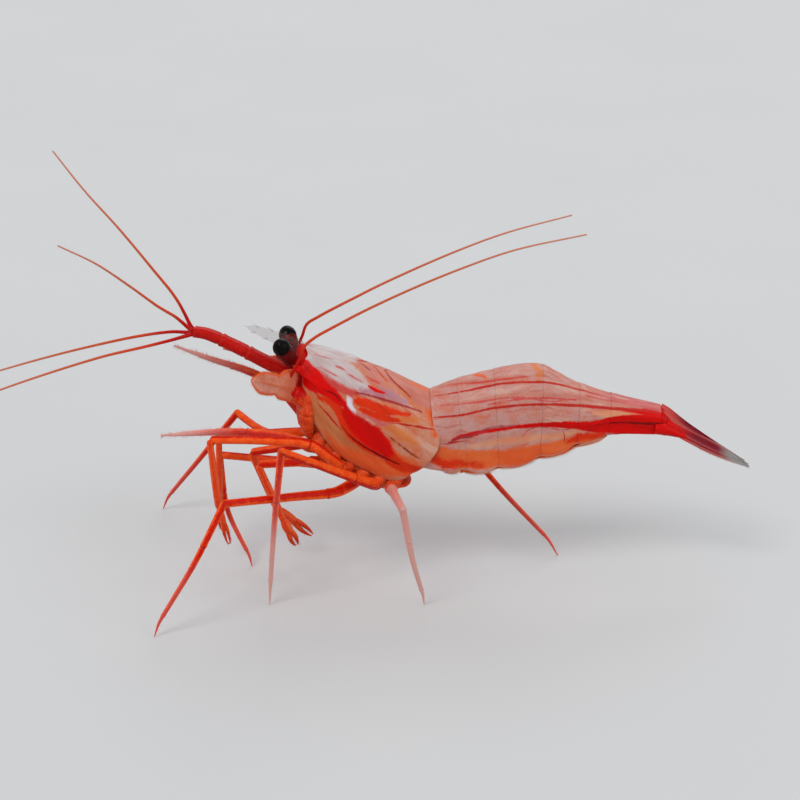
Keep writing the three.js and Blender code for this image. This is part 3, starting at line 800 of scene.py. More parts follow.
def add_carapace(material):
    """The shield over head and thorax, with its front spines, margins and grooves."""
    back = np.linspace(0, carapace_stations[-1] + CARAPACE_LAP, CARAPACE_ROWS)[:, None]
    share = back / back[-1]
    edge = CARAPACE_EDGE - 0.05 * bump(share, 0, 0.06) - 0.06 * bump(share, 1, 0.05)
    turns = edge * np.linspace(1, -1, CARAPACE_COLUMNS)
    grid = on_cage(carapace_cage, carapace_place(back[:, 0]), turns)
    turn = np.abs(turns)
    spines = 0.4 * bump(turn, 0.19, 0.08) - 0.95 * bump(turn, 0.4, 0.022) - 0.35 * bump(turn, 0.4, 0.07)
    shift = (1 - share) ** 6 * (spines + 0.9 * step_between(0.62, 0.82, turn))
    shift -= 1.1 * share**7 * step_between(0.45, 0.78, turn)
    grid += shift[..., None] * BACKWARD
    hang = step_between(0.64, 0.84, turn)
    grid[..., 1] += 0.22 * hang * (grid[..., 1] - MIDDLE_Y)
    grid[..., 2] -= 0.75 * hang
    grooves = painted(grid, GROOVES, on_carapace)
    sunk = 0.06 * grooves["cervical"] + 0.05 * grooves["branchial"]
    keel = bump(turn, 0, 0.018 + 0.03 * share) * (1 - step_between(0.25, 0.55, share))
    rim = bump(share, 1, 0.02) + bump(share, 0, 0.018) + bump(turn, edge, 0.018)
    swelling = 0.14 * bump(turn, 0.5, 0.2) * bump(share, 0.62, 0.28)
    grid += (0.3 * keel + 0.05 * rim + swelling - sunk)[..., None] * grid_normals(grid)
    margin = step_between(edge - 0.035, edge - 0.01, turn) * (1 - step_between(0.72, 0.9, share))
    marks = painted(grid, CARAPACE_MARKS, on_carapace)
    marks["dark"] = np.maximum(marks["dark"], 0.7 * margin)
    shape = Shape()
    shape.add_plate(grid, PLATE_THICKNESS, turn=turn, back=back, **marks)
    shape.make("carapace_shell", material, ["carapace"])


def add_beak(material):
    """The rostrum: a thin upright blade with forward teeth above and below, fading into the keel."""
    shape = Shape()
    sunk = 0.12 * DOWNWARD
    tops = np.array([*beak_rings[:, 0], on_carapace(1.2, 0) + sunk, on_carapace(3.6, 0) + 2 * sunk])
    bottoms = np.array([*beak_rings[:, RING_TURNS], tops[-2] + 1.1 * DOWNWARD, tops[-1] + 0.5 * DOWNWARD])
    share = shares(70)
    last = len(tops) - 1
    top, bottom = curve(tops, last * share), curve(bottoms, last * share)
    middle = mixed(top, bottom, 0.5)
    half = np.linalg.norm(top - bottom, axis=1) / 2 * (1 - 0.8 * bump(share, 0, 0.06))
    blade = tube(middle, half, 28, UP, 0.3)
    blade[..., 1] = MIDDLE_Y + (blade[..., 1] - MIDDLE_Y) * mixed(0.9, 1.3, share)[:, None]
    clear = 1 - step_between(0.5, 0.95, share)[:, None]
    shape.add_rings(blade, (middle[0] - 0.35 * BACKWARD, middle[-1]), clear=clear)
    for at, height in TEETH_ABOVE:
        root = curve(tops, at * last) + sunk
        tip = root - 0.55 * BACKWARD - height * DOWNWARD
        shape.add_spine(root + 0.25 * BACKWARD, tip, 0.15, 0.5, clear=np.interp(at, (0.5, 0.95), (1, 0)))
    for at in TEETH_BELOW:
        root = curve(bottoms, at * last) - sunk
        tip = root - 0.45 * BACKWARD + 0.2 * DOWNWARD
        shape.add_spine(root + 0.2 * BACKWARD, tip, 0.13, 0.5, clear=1.0)
    shape.make("rostrum", material)


# --- Soft trunk under the carapace ---

FACE_LINE = ((1.2, 0, 2.3), (1.45, 0, 0.2), (2.15, 0, -2.2), (3.0, 0, -4.6), (4.4, 0, -6.2))
LIMB_PAIRS = ("maxilliped", "first_arm", "second_arm", "third_thigh", "fourth_thigh", "fifth_thigh")
THORAX_CORNERS = 2.4  # the power that rounds the thorax across: 2 is an ellipse


def near_orbit(points):
    """1 close to the eyestalks' roots, where the flesh is crimson, and 0 elsewhere."""
    root = line_of("eyestalk_left", AHEAD).mean(0) + [0.6, 0, -1.2]
    return 1 - step_between(2.2, 4.0, np.linalg.norm(folded(points) - root, axis=-1))


def add_hips(shape, side, sign):
    """Each limb's first segment, and the swelling of the flank that they hang from."""
    roots = []
    for pair in LIMB_PAIRS:
        root, beyond = line_of(f"{pair}_{side}", centre_of("thorax"))[:2]
        ahead = unit(beyond - root)
        roots.append(root)
        inner, outer = root + [1.3, -sign * 0.9, 1.9], root + [0.6, -sign * 0.25, 0.75]
        points = evenly([inner, outer, root + 0.5 * ahead, root + 1.6 * ahead], 50)
        share = shares(50)
        width = 0.62 + 0.16 * np.sin(math.pi * share**0.8) - 0.05 * bump(share, 0.6, 0.05)
        shape.add_rings(rod(points, width, 28, 0.3, 0.15, 0.95))
    flank = evenly(np.array(roots) + [0.45, -sign * 0.7, 1.0], 90)
    shape.add_rings(rod(flank, 0.95 + 0.07 * np.cos(10 * math.pi * shares(90)), 40, 0.8, 0.9))


def add_trunk(material):
    """The head and thorax inside the carapace, the face in front of it and the legs' first segments."""
    shape = Shape()
    trunk = skin_inside(curve(carapace_cage, np.linspace(0, len(carapace_cage) - 0.85, 60)), 90, 1.4, 0.1)
    shape.add_rings(trunk, crimson=near_orbit(trunk))
    thorax = rings_of("thorax", AHEAD)
    rows = refined(curve(thorax, np.linspace(0, len(thorax) - 1, 60)), 60)
    shift = rows - rows.mean(1, keepdims=True)
    across = np.abs(shift[..., 1:] / np.abs(shift[..., 1:]).max(1, keepdims=True))
    corner = (across**THORAX_CORNERS).sum(-1, keepdims=True) ** (1 / THORAX_CORNERS)
    shape.add_rings(domed(rows - shift * (1 - 1 / np.maximum(corner, 1)), 0.3, 1.0))
    brow = centre_of("antenna_base_left")
    line = evenly(np.array([brow[0], MIDDLE_Y, brow[2]]) + FACE_LINE, 60)
    width = np.interp(shares(60), (0, 0.25, 0.7, 1), (1.5, 2.2, 2.2, 1.7))
    face = rod(line, width, 60, 0.9, 0.6, 0.44)
    shape.add_rings(face, crimson=near_orbit(face))
    for side, sign in SIDES.items():
        add_hips(shape, side, sign)
    shape.make("trunk", material, ["thorax"])


def add_mouthparts(material):
    """The small feeding limbs folded over the mouth, between the antennae and the maxillipeds."""
    shape = Shape()
    share = shares(60)
    low = rings_of("thorax", AHEAD)[1].mean(0)
    for side, sign in SIDES.items():
        top = centre_of(f"antenna_base_{side}")
        for inset, size in ((0.0, 0.8), (0.6, 0.72), (1.2, 0.62)):
            start = top + [2.4 - 0.5 * inset, -sign * inset, -0.5]
            middle = mixed(start, low, 0.5) + [-0.3 - 0.25 * inset, sign * (1.15 - 0.4 * inset), 0]
            end = low + [-0.1 - 0.3 * inset, sign * (1.6 - 0.7 * inset), 0.3]
            points = evenly([start, middle, end], 60)
            joints = segmented(lengths_along(points), (2.2, 4))
            width = size * (0.7 + 0.3 * np.sin(math.pi * share)) * joints
            shape.add_rings(rod(points, width, 20, 0.2, 0.4), crimson=0.0)
    shape.make("mouthparts", material)


# --- Tail ---

TAIL_ROWS = 50  # of each plate
TAIL_COLUMNS = 221
TAIL_EDGE = 0.8  # the turn at which the side flaps end
OVERLAP = 0.09  # how far each plate reaches over the next one, in segments


def tail_plate(index):
    """The outer surface of one tail plate, with its place along the tail and its turn."""
    start = -0.1 if index == 0 else index + 0.01
    end = 6 if index == 5 else index + 1 + OVERLAP
    inside = shares(TAIL_ROWS)[:, None]
    edge = TAIL_EDGE + 0.012 * np.abs(2 * inside - 1) ** 4
    turns = edge * np.linspace(1, -1, TAIL_COLUMNS)
    turn = np.abs(turns)
    low = step_between(0.42, 0.72, turn)
    reach = np.linspace(start, end, TAIL_ROWS)[:, None] + 0 * turn
    if index == 1:
        reach = reach - 0.16 * low * (1 - inside) ** 3
    rows = [on_cage(tail_cage, 4 * reach[:, i], turns[:, i : i + 1])[:, 0] for i in range(TAIL_COLUMNS)]
    grid = np.stack(rows, axis=1)
    lift = 0.03 * inside**2 - 0.03 * (1 - inside) ** 4
    if index == 0:
        grid += (1.9 * low * (1 - inside) ** 2)[..., None] * TAIL_AHEAD
        lift = lift - 0.08 * (1 - inside) ** 6
    if index == 1:
        lift = lift + 0.2 * low * (1 - inside) ** 2
    grid[..., 2] -= 0.4 * step_between(0.6, 0.82, turn) * (1 - step_between(2.2, 4.4, reach))
    rim = 0.01 * bump(inside, 1, 0.04) + 0.04 * bump(turn, edge, 0.015)
    fold = -0.04 * bump(inside, 0.16, 0.05) - 0.05 * bump(turn, 0.55, 0.02) * bump(inside, 0.5, 0.25)
    return grid + (lift + rim + fold)[..., None] * grid_normals(grid), reach, turn


def add_tail_plates(material):
    for index in range(6):
        grid, reach, turn = tail_plate(index)
        shape = Shape()
        marks = painted(grid, TAIL_MARKS, on_tail)
        shape.add_plate(grid, 0.6 * PLATE_THICKNESS, segment=reach, turn=turn, **marks)
        shape.make(f"tail_plate_{index + 1}", material, [f"abdomen_{index + 1}"])


def add_tail_flesh(material):
    """The muscle inside the tail plates, with its rounded end leaning over the fan."""
    rows = curve(tail_cage, 4 * np.linspace(-0.12, 5.98, 150))
    end, ahead = rows[-1].mean(0), rows[-8].mean(0)
    flesh = skin_inside(rows, 80, 0.2, 2.6)
    past = np.clip((flesh - end) @ unit(end - ahead), 0, None)
    flesh[..., 2] -= past * mixed(0.1, 0.7, step_between(-1.4, 1.2, flesh[..., 2] - end[2]))
    shape = Shape()
    shape.add_rings(flesh, crimson=step_between(0.75, 0.9, shares(len(flesh)))[:, None])
    shape.make("tail_flesh", material)


# --- Leaves: swimmerets, tail fan and antennal scales ---

LEAF_ROWS = 56
LEAF_SIDES = 40
# The width of each blade of a uropod, its end, its turn, and its shift and lift, as add_leaf takes them.
UROPOD_BLADES = ((0.72, 1.04, -0.3, 0.0, 0.0), (0.6, 0.98, -0.55, -0.3, 0.9))


def blade_of(node, root):
    """The middle line of a CAD blade, with its half width and half thickness as directions."""
    rings = rings_of(node, root)
    one, other = (rings[:, 0] - rings[:, 4]) / 2, (rings[:, 2] - rings[:, 6]) / 2
    if np.linalg.norm(one[3]) > np.linalg.norm(other[3]):
        return rings.mean(1), one, other
    return rings.mean(1), other, one


def add_leaf(
    shape, node, root, width, thin, reach, turned=0.0, shift=0.0, lift=0.0, ribs=0.25, tip=0.82, flare=(1, 1),
    gather=0.0, drop=(0, 0),
):
    """A thin ribbed leaf on a CAD blade's frame; returns its two edges from root to tip.

    Its widths at the root and beyond and its thickness are shares of the blade's, and reach says
    where it starts and ends along the blade. It may be turned about its middle line, and shift and
    lift move it across the blade and out of its plane, in half widths and half thicknesses. Its
    rounded end starts at tip. Flare widens its root above and below, gather draws its tip to the
    animal's middle, and drop raises its root and tip by so many millimetres.
    """
    middles, wide, thick = blade_of(node, root)
    share = shares(LEAF_ROWS)[:, None]
    places = mixed(*reach, share[:, 0]) * (len(middles) - 1)
    across, over = (curve(way, np.clip(places, 0, None)) for way in (wide, thick))
    least = np.linalg.norm(wide, axis=1).max() * np.interp(share, (0, 0.35, 0.7), (width[0], width[0], 0))
    size = np.maximum(np.linalg.norm(across, axis=1, keepdims=True) * width[1], least)
    rounding = np.sqrt(np.clip(1 - (np.clip(share - tip, 0, None) / (1.01 - tip)) ** 2, 0.02, 1))
    sideways = unit(across) * math.cos(turned) + unit(over) * math.sin(turned)
    upward = unit(over) * math.cos(turned) - unit(across) * math.sin(turned)
    thickness = thin * np.linalg.norm(over, axis=1, keepdims=True)
    centre = curve(middles, places) + shift * across + lift * over
    centre[:, 1:2] = MIDDLE_Y + (centre[:, 1:2] - MIDDLE_Y) * (1 - gather * share)
    centre[:, 2:] += mixed(*drop, share)
    angles = np.linspace(0, 2 * math.pi, LEAF_SIDES, endpoint=False)
    x = np.cos(angles)
    y = np.sin(angles) * (1 + ribs * bump(x, 0, 0.1) + 0.4 * ribs * np.cos(9 * x))
    above = 1 if across[20][2] > 0 else -1  # the edge that is the upper one, as in flare
    wider = 1 + np.where(above * x > 0, flare[0] - 1, flare[1] - 1) * (1 - step_between(0.1, 0.75, share))
    spread_out = (size * rounding * sideways)[:, None] * (wider * x)[..., None]
    grid = centre[:, None] + spread_out + (thickness * upward)[:, None] * y[:, None]
    shape.add_rings(grid, along=share, across=x)
    return grid[:, 0], grid[:, LEAF_SIDES // 2]


def fringe(shape, edge, other, first, length, count, lean):
    """Bristles along an edge from its point first on, away from the other edge and leaning to the tip."""
    edge, outward = edge[first:], (edge - other)[first:]
    at = np.linspace(0, len(edge) - 1, count)
    roots = curve(edge, at)
    directions = unit(curve(outward, at)) + lean * unit(np.gradient(roots, axis=0))
    directions += 0.12 * seeded.normal(size=roots.shape)
    sizes = length * seeded.uniform(0.75, 1.1, count)
    values = {"along": at / len(edge), "across": 1.0}
    shape.add_hairs(roots - 0.03 * directions, directions, sizes, 0.02, 0.05, **values)


def add_swimmerets(material):
    for index in range(1, 6):
        for side in SIDES:
            node = f"swimmeret_{index}_{side}"
            ahead = centre_of(node) + AHEAD
            shape = Shape()
            for lift, size, reach in ((0.25, 1.0, (-0.16, 1.12)), (-0.35, 0.88, (-0.1, 1.02))):
                top, bottom = add_leaf(shape, node, ahead, (0.4, size), 0.45, reach, shift=-0.02, lift=lift)
                fringe(shape, bottom, top, 6, 0.4, 60, 0.8)
            shape.make(f"swimmeret_{index}_{side}_leaves", material, [node])


def add_telson(material):
    shape = Shape()
    size = ((0.8, 0.85), 1.0, (-0.1, 1.05))
    left, right = add_leaf(shape, "telson", AHEAD, *size, ribs=0.35, tip=0.5, drop=(-0.3, -0.3))
    along = unit(left[-1] - left[0])
    for edge, other in ((left, right), (right, left)):
        fringe(shape, edge, other, 34, 0.45, 40, 1.4)
        for at in (26, 38):
            root = mixed(edge[at], other[at], 0.22) + [0, 0, 0.18]
            shape.add_spine(root, root + along * 0.55 + [0, 0, 0.12], 0.09, along=at / LEAF_ROWS)
    shape.make("telson_plate", material, ["telson"])


def add_uropods(material):
    """The paired blades of the tail fan: two on each side, on a short stem."""
    for side, sign in SIDES.items():
        node = f"uropod_{side}"
        middles, wide, _ = blade_of(node, AHEAD)
        outward = 1 if (wide[4][1] > 0) == (sign > 0) else -1
        root = middles[0]
        stem = evenly([root + [-1.1, 0, 0.3], root + [0.1, 0, 0.15], middles[1] + [0.4, 0, 0.1]], 40)
        width = np.interp(np.arange(40), (0, 15, 39), (0.62, 0.68, 0.3))
        shape = Shape()
        shape.add_rings(rod(stem, width, 30, 0.1, 0.6), along=0.0, across=0.3)
        drop = (0.45 if side == "left" else 0.1, -0.75)
        for size, reach, turned, shift, lift in UROPOD_BLADES:
            outer, inner = add_leaf(
                shape, node, AHEAD, (0.5, size), 0.5, (0, reach), turned * outward, shift * outward, lift,
                tip=0.45, gather=0.8, drop=drop,
            )
            fringe(shape, outer, inner, 22, 0.4, 60, 1.3)
            fringe(shape, inner, outer, 16, 0.35, 60, 1.3)
        shape.make(f"uropod_{side}_plates", material, [node])


def add_antennal_scales(material):
    for side in SIDES:
        node = f"antennal_scale_{side}"
        root = centre_of(f"eye_{side}") + [10, 0, -5]
        shape = Shape()
        size = ((0.95, 1), 0.7, (-0.4, 1))
        top, bottom = add_leaf(shape, node, root, *size, ribs=0.3, tip=0.7, flare=(1.9, 1.2))
        fringe(shape, top, bottom, 20, 0.3, 50, 1.0)
        fringe(shape, bottom, top, 10, 0.3, 50, 1.0)
        shape.make(f"antennal_scale_{side}_plate", material, [node])


# --- Eyes and feelers ---

EYE_TURN = {"left": (-0.3, 0, 0.14), "right": (0.1, 0, -0.35)}  # both look to the left
WHIP_PITCH = 0.42  # from one ring of a feeler to the next


def add_eyes(eye_material, stalk_material):
    for side, turn in EYE_TURN.items():
        centre = centre_of(f"eye_{side}") + turn
        low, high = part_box(f"eye_{side}")
        radius = (high - low)[2] / 2 / MM
        line = line_of(f"eyestalk_{side}", centre + [0, 0, -1000])
        axis = unit(centre - line[0])
        share = np.linspace(0.015, 0.985, 60)
        polar = share * math.pi
        swell = radius * (1 + 0.03 * np.cos(3 * polar))
        ball = tube(centre + np.outer(np.cos(polar) * swell, axis), np.sin(polar) * swell, 72, UP)
        shape = Shape()
        shape.add_rings(ball, polar=share[:, None])
        shape.make(f"eye_{side}_ball", eye_material, [f"eye_{side}"])
        points = evenly([line[0] - 0.8 * axis, *line, centre - 0.35 * axis], 40)
        at = shares(40)
        thickness = 0.72 + 0.22 * step_between(0.3, 0.9, at) - 0.07 * bump(at, 0.38, 0.08)
        shape = Shape()
        shape.add_rings(tube(points, thickness, 28), along=at[:, None])
        shape.make(f"eyestalk_{side}_skin", stalk_material, [f"eyestalk_{side}"])


def segmented(reach, joints, pinch=0.18, flare=0.1):
    """How much thicker a limb is at each distance along it: a collar before each joint, a waist after."""
    collars = sum(bump(reach, joint - 0.22, 0.2) for joint in joints)
    waists = sum(bump(reach, joint + 0.05, 0.1) for joint in joints)
    return 1 + flare * collars - pinch * waists


def begun_inside(line, depth, count):
    """A feeler base's line with that many points, begun so many millimetres inside the head."""
    return evenly([line[0] + depth * unit(line[0] - line[1]), *line], count)


def add_whip(name, start, material, tucked=0.0):
    """A long ringed feeler that thins to its tip; tucked draws its first bends closer to the head."""
    line = np.array([start, *line_of(name, start)])
    line[1:4] = mixed(line[1:4], mixed(start, line[4], np.array([[0.25], [0.5], [0.75]])), tucked)
    length = lengths_along(line)[-1]
    count = int(length / WHIP_PITCH * 5)
    points = evenly(line, count)
    share = shares(count)
    reach = length * share
    radii = mixed(0.18, 0.08, share**0.8) + 0.06 * bump(reach, 0, 1.6)
    rings = 1 + 0.07 * np.abs(np.sin(math.pi * reach / WHIP_PITCH))
    shape = Shape()
    shape.add_rings(tube(points, radii * rings, 10), along=share[:, None])
    every = points[6::10]
    ways = seeded.normal(size=every.shape) + 0.5 * unit(np.gradient(every, axis=0))
    shape.add_hairs(every, ways, 0.28, 0.012, 0.0, along=shares(len(every)))
    shape.make(f"{name}_whip", material, [name])


def add_feelers(material, plate_material):
    for side in SIDES:
        node = f"antennule_base_{side}"
        points = begun_inside(line_of(node, centre_of(f"eye_{side}")), 0.9, 120)
        reach = lengths_along(points)
        length = reach[-1]
        width = mixed(0.74, 0.56, reach / length) * segmented(reach, (0.5 * length, 0.76 * length))
        shape = Shape()
        shape.add_rings(tube(points, width, 24), along=0.0)
        spots = points[12:110:3]
        sway = seeded.normal(size=spots.shape) + [0, 0, 0.8]
        shape.add_hairs(spots + 0.45 * unit(sway), sway + [-1.2, 0, 0], 0.35, 0.014, along=0.5)
        shape.make(f"antennule_{side}_stem", material, [node])
        for branch in ("outer", "inner"):
            add_whip(f"antennule_{branch}_{side}", points[-4], material)
        node = f"antenna_base_{side}"
        points = begun_inside(line_of(node, centre_of("carapace")), 1.0, 50)
        reach = lengths_along(points)
        length = reach[-1]
        joints = segmented(reach, (0.45 * length, 0.8 * length), 0.14, 0.07)
        width = mixed(1.15, 0.7, reach / length) * joints
        stem = rod(points, width, 28, 0.1, 0.15)
        shape = Shape()
        shape.add_rings(stem, crimson=0.9 * near_orbit(stem))
        shape.make(f"antenna_{side}_stem", plate_material, [node])
        add_whip(f"antenna_{side}", points[26], material, tucked=0.75)


# --- Limbs ---

LIMB_SIDES = 16
LIMB_POINTS = 130
# The radii of each part from its start to its end, and its joints as shares of its length.
THIGH = ((0.72, 0.62, 0.5, 0.46, 0.42, 0.42), (0.1, 0.34))
SHIN = ((0.4, 0.37, 0.34, 0.3, 0.27, 0.24, 0.05), (0.33, 0.86))
MAXILLIPED = ((0.6, 0.56, 0.5, 0.46, 0.38, 0.28, 0.08), (0.12, 0.5, 0.68))
UPPER_ARM = ((0.62, 0.56, 0.5, 0.46, 0.42), (0.14, 0.4))
FOREARM = ((0.36, 0.36, 0.4, 0.4, 0.36), ())
FINGER_LINE = ((0.46, 0.3), (0.7, 0.58), (0.9, 0.5), (1.0, 0.18))  # along the hand, and aside in palms
# How pale each leg is at its root, its knee, most of the way down its shin, and its tip.
FADED = {"fifth_left": (0.5, 0.8, 0.9, 1.0), "fourth_left": (0.0, 0.0, 0.15, 1.0)}


def rooted(line, count, back=0.0, rise=1.0, depth=1.1):
    """A limb's line with that many points, begun so many millimetres inside the thorax."""
    inside = np.array([centre_of("thorax")[0] + back, MIDDLE_Y, line[0][2] + rise])
    return evenly([line[0] + depth * unit(inside - line[0]), *line], count)


def add_limb_part(shape, points, radii, joints=(), **values):
    """One length of a limb, rounded at its ends and collared at its joints; returns its width all along."""
    reach = lengths_along(points)
    joints = [joint * reach[-1] for joint in joints]
    width = profile(radii, reach / reach[-1]) * segmented(reach, joints)
    for gap, end in ((reach, width[0]), (reach[-1] - reach, width[-1])):
        width = width * np.sqrt(np.clip(1 - np.clip(1 - gap / end, 0, 1) ** 2, 0.03, 1))
    side = np.abs(np.cos(np.linspace(0, 2 * math.pi, LIMB_SIDES, endpoint=False)))
    ring = sum((bump(reach, joint, 0.16) for joint in joints), np.zeros(len(reach)))
    shape.add_rings(tube(points, width, LIMB_SIDES), side=side, ring=ring[:, None], **values)
    return width


def scatter_bristles(shape, points, widths, count, length, lean=0.6, **values):
    """Short bristles scattered all along a limb, leaning towards its tip."""
    at = np.sort(seeded.uniform(0, len(points) - 1, count))
    forward = unit(curve(np.gradient(points, axis=0), at))
    sway = seeded.normal(size=forward.shape)
    sway = unit(sway - forward * np.sum(sway * forward, axis=1, keepdims=True))
    wide = np.interp(at, np.arange(len(widths)), widths)[:, None]
    sizes = length * seeded.uniform(0.6, 1.2, count)
    roots = curve(points, at) + 0.9 * wide * sway
    shape.add_hairs(roots, sway + lean * forward, sizes, 0.016, 0.0, **values)


def leg_lines(upper, lower):
    """A leg's lines from inside the thorax to its knee, and from there to its tip."""
    thigh = line_of(upper, centre_of("thorax"))
    knee = thigh[-1]
    shin = line_of(lower, knee)
    beyond, before = knee + 0.38 * unit(knee - thigh[-2]), knee - 0.36 * unit(shin[0] - knee)
    return rooted([*thigh, beyond], LIMB_POINTS, 2, 1.2, 1.3), evenly([before, *shin], LIMB_POINTS)


def add_walking_legs(material):
    for pair in ("third", "fourth", "fifth"):
        for side in SIDES:
            nodes = [f"{pair}_thigh_{side}", f"{pair}_shin_{side}"]
            thigh, shin = leg_lines(*nodes)
            root, knee, low, foot = FADED.get(f"{pair}_{side}", (0, 0, 0, 0.2))
            shape = Shape()
            fade = np.linspace(root, knee, LIMB_POINTS)[:, None]
            width = add_limb_part(shape, thigh, *THIGH, fade=fade)
            scatter_bristles(shape, thigh[30:], width[30:], 26, 0.3, fade=knee)
            paler = (knee, low, mixed(low, foot, 0.75), foot)
            fade = np.interp(shares(LIMB_POINTS), (0, 0.4, 0.6, 1), paler)[:, None]
            width = add_limb_part(shape, shin, *SHIN, fade=fade)
            scatter_bristles(shape, shin[:125], width[:125], 60, 0.26, fade=foot)
            shape.make(f"{pair}_leg_{side}", material, nodes)


def add_maxillipeds(material):
    for side in SIDES:
        node = f"maxilliped_{side}"
        points = rooted(line_of(node, centre_of("thorax")), 190)
        fade = mixed(0.05, 0.85, step_between(95, 175, np.arange(190)))[:, None]
        shape = Shape()
        width = add_limb_part(shape, points, *MAXILLIPED, fade=fade)
        scatter_bristles(shape, points[90:], width[90:], 220, 0.5, 0.9, fade=0.75)
        shape.make(f"{node}_limb", material, [node])


def add_claw_legs(limb_material, claw_material):
    for pair, palm in (("first", 0.52), ("second", 0.36)):
        for side in SIDES:
            node = f"{pair}_arm_{side}"
            arm = line_of(node, centre_of("thorax"))
            points = rooted(arm, LIMB_POINTS)
            shape = Shape()
            width = add_limb_part(shape, points, *UPPER_ARM)
            scatter_bristles(shape, points[30:], width[30:], 24, 0.3)
            shape.make(f"{pair}_upper_arm_{side}", limb_material, [node])
            add_claw(f"{pair}_forearm_{side}", f"{pair}_claw_{side}", arm[-1], palm, claw_material)


def claw_frame(node, elbow):
    """A claw's wrist, the way from it to the tip, and the direction in which its fingers open."""
    points = welded(node)[0]
    start = points[np.argmin(np.linalg.norm(points - elbow, axis=1))]
    tip = points[np.argmax(np.linalg.norm(points - start, axis=1))]
    chord = unit(tip - elbow)
    offset = points - elbow
    aside = offset - np.outer(offset @ chord, chord)
    distance = np.linalg.norm(aside, axis=1)
    bent = points[distance > distance.max() - 0.5]
    wrist = bent.mean(0) - unit(aside[np.argmax(distance)]) * 0.25
    along = unit(tip - wrist)
    hand = points[(points - wrist) @ along > 0.3 * np.linalg.norm(tip - wrist)]
    hand = hand - hand.mean(0)
    return wrist, tip - wrist, unit(np.linalg.svd(hand - np.outer(hand @ along, along))[2][0])


def add_claw(name, node, elbow, palm, material):
    """A forearm with its hand and two fingers; palm is about the hand's greatest radius."""
    wrist, hand_way, open_way = claw_frame(node, elbow)
    shape = Shape()
    forearm = evenly([elbow, mixed(elbow, wrist, 0.5), wrist, wrist + 0.12 * hand_way], 110)
    width = add_limb_part(shape, forearm, *FOREARM, along=np.linspace(0.5, 0.8, 110)[:, None])
    scatter_bristles(shape, forearm, width, 24, 0.3, along=0.6)
    hand = evenly([wrist, wrist + 0.25 * hand_way, wrist + 0.55 * hand_way], 60)
    add_limb_part(shape, hand, (0.3, 0.9 * palm, 1.05 * palm, palm, 0.8 * palm), along=0.82)
    for way, root in ((1, 0.62), (-1, 0.55)):
        aside = way * palm * open_way
        finger = evenly([wrist + on * hand_way + out * aside for on, out in FINGER_LINE], 60)
        radii = (root * palm, root * palm, 0.5 * palm, 0.32 * palm, 0.05)
        add_limb_part(shape, finger, radii, along=np.linspace(0.82, 1, 60)[:, None])
        scatter_bristles(shape, finger[10:], np.full(50, 0.35 * palm), 30, 0.3, 1.0, along=0.95)
    shape.make(name, material, [node])


# --- Materials ---


def wet_paint(name, tones, roughness=0.36, soft=0.25, coat=0.03, cloud=1.4):
    """A soft, moist surface in three mingled tones."""
    paint = Paint(
        name, Subsurface_Weight=soft, Subsurface_Scale=0.6 * MM, Subsurface_Radius=(1.0, 0.35, 0.2),
        Coat_Weight=coat, Coat_Roughness=0.2, Specular_IOR_Level=0.07,
    )
    paint.tone = rgb(*tones[0])
    paint.over(tones[1], paint.noise(cloud), 0.36, 0.66)
    paint.over(tones[2], paint.noise(0.22, 2), 0.48, 0.74, 0.0, 0.6)
    paint.bumps(paint.noise(0.14, 2), 0.018)
    paint.set("Roughness", paint.between(paint.noise(0.5), 0.35, 0.7, roughness - 0.06, roughness + 0.1))
    return paint


def second_tone(kind, colour):
    """The tone that a marking's colour wanders to."""
    if kind in ("crimson", "vermilion", "dark"):
        return 0.9 * colour[0], 0.9 * colour[1], colour[2]
    return min(255, 1.03 * colour[0] + 4), 1.1 * colour[1] + 8, 1.1 * colour[2] + 8


def add_marks(paint, along, across):
    """Drawn-out streaks, fine red dots, and the markings with ragged edges."""
    fine = paint.streaks(along, across, 0.3, 9.0)
    broad = paint.streaks(along, across, 0.9, 5.0)
    paint.over((206, 168, 150), broad, 0.5, 0.72, 0.0, 0.7)
    paint.over((198, 94, 62), broad, 0.48, 0.3, 0.0, 0.6)
    paint.over((184, 74, 58), fine, 0.54, 0.68, 0.0, 0.55)
    paint.over((182, 44, 28), paint.cells(0.3), 0.1, 0.2, 0.4, 0.0)
    rough = paint.math("ADD", paint.wander(paint.noise(0.45, 5, 0.75), 1.1), paint.wander(fine, 1.0))
    depth = paint.between(broad, 0.35, 0.68)
    for kind, colour in MARK_COLOURS.items():
        strength = paint.value(kind)
        ragged = paint.math("MULTIPLY", rough, paint.between(strength, 0.0, 0.35))
        share = paint.between(paint.math("ADD", strength, ragged), 0.12, 0.85)
        ink = paint.mix(depth, rgb(*colour), rgb(*second_tone(kind, colour)))
        paint.tone = paint.mix(share, paint.tone, ink)


def carapace_material():
    paint = wet_paint("carapace", ((194, 128, 102), (198, 104, 66), (202, 146, 124)))
    back = paint.value("back")
    across = paint.math("MULTIPLY", paint.value("turn"), 9.0)
    add_marks(paint, back, paint.math("SUBTRACT", across, paint.math("MULTIPLY", back, 0.28)))
    return paint.finished()


def tail_material():
    paint = wet_paint("tail", ((188, 134, 126), (192, 120, 104), (200, 150, 142)))
    segment, turn = paint.value("segment"), paint.value("turn")
    paint.over((182, 72, 70), segment, 4.3, 5.6)
    add_marks(paint, paint.math("MULTIPLY", segment, 4.5), paint.math("MULTIPLY", turn, 8.5))
    paint.over((214, 150, 128), turn, 0.77, 0.8, 0.0, 0.7)
    return paint.finished()


def flesh_material():
    paint = wet_paint("flesh", ((214, 78, 32), (202, 52, 18), (222, 112, 64)))
    rough = paint.math("ADD", paint.value("crimson"), paint.wander(paint.noise(0.5), 1.0))
    paint.over((184, 8, 5), rough, 0.2, 0.7)
    return paint.finished()


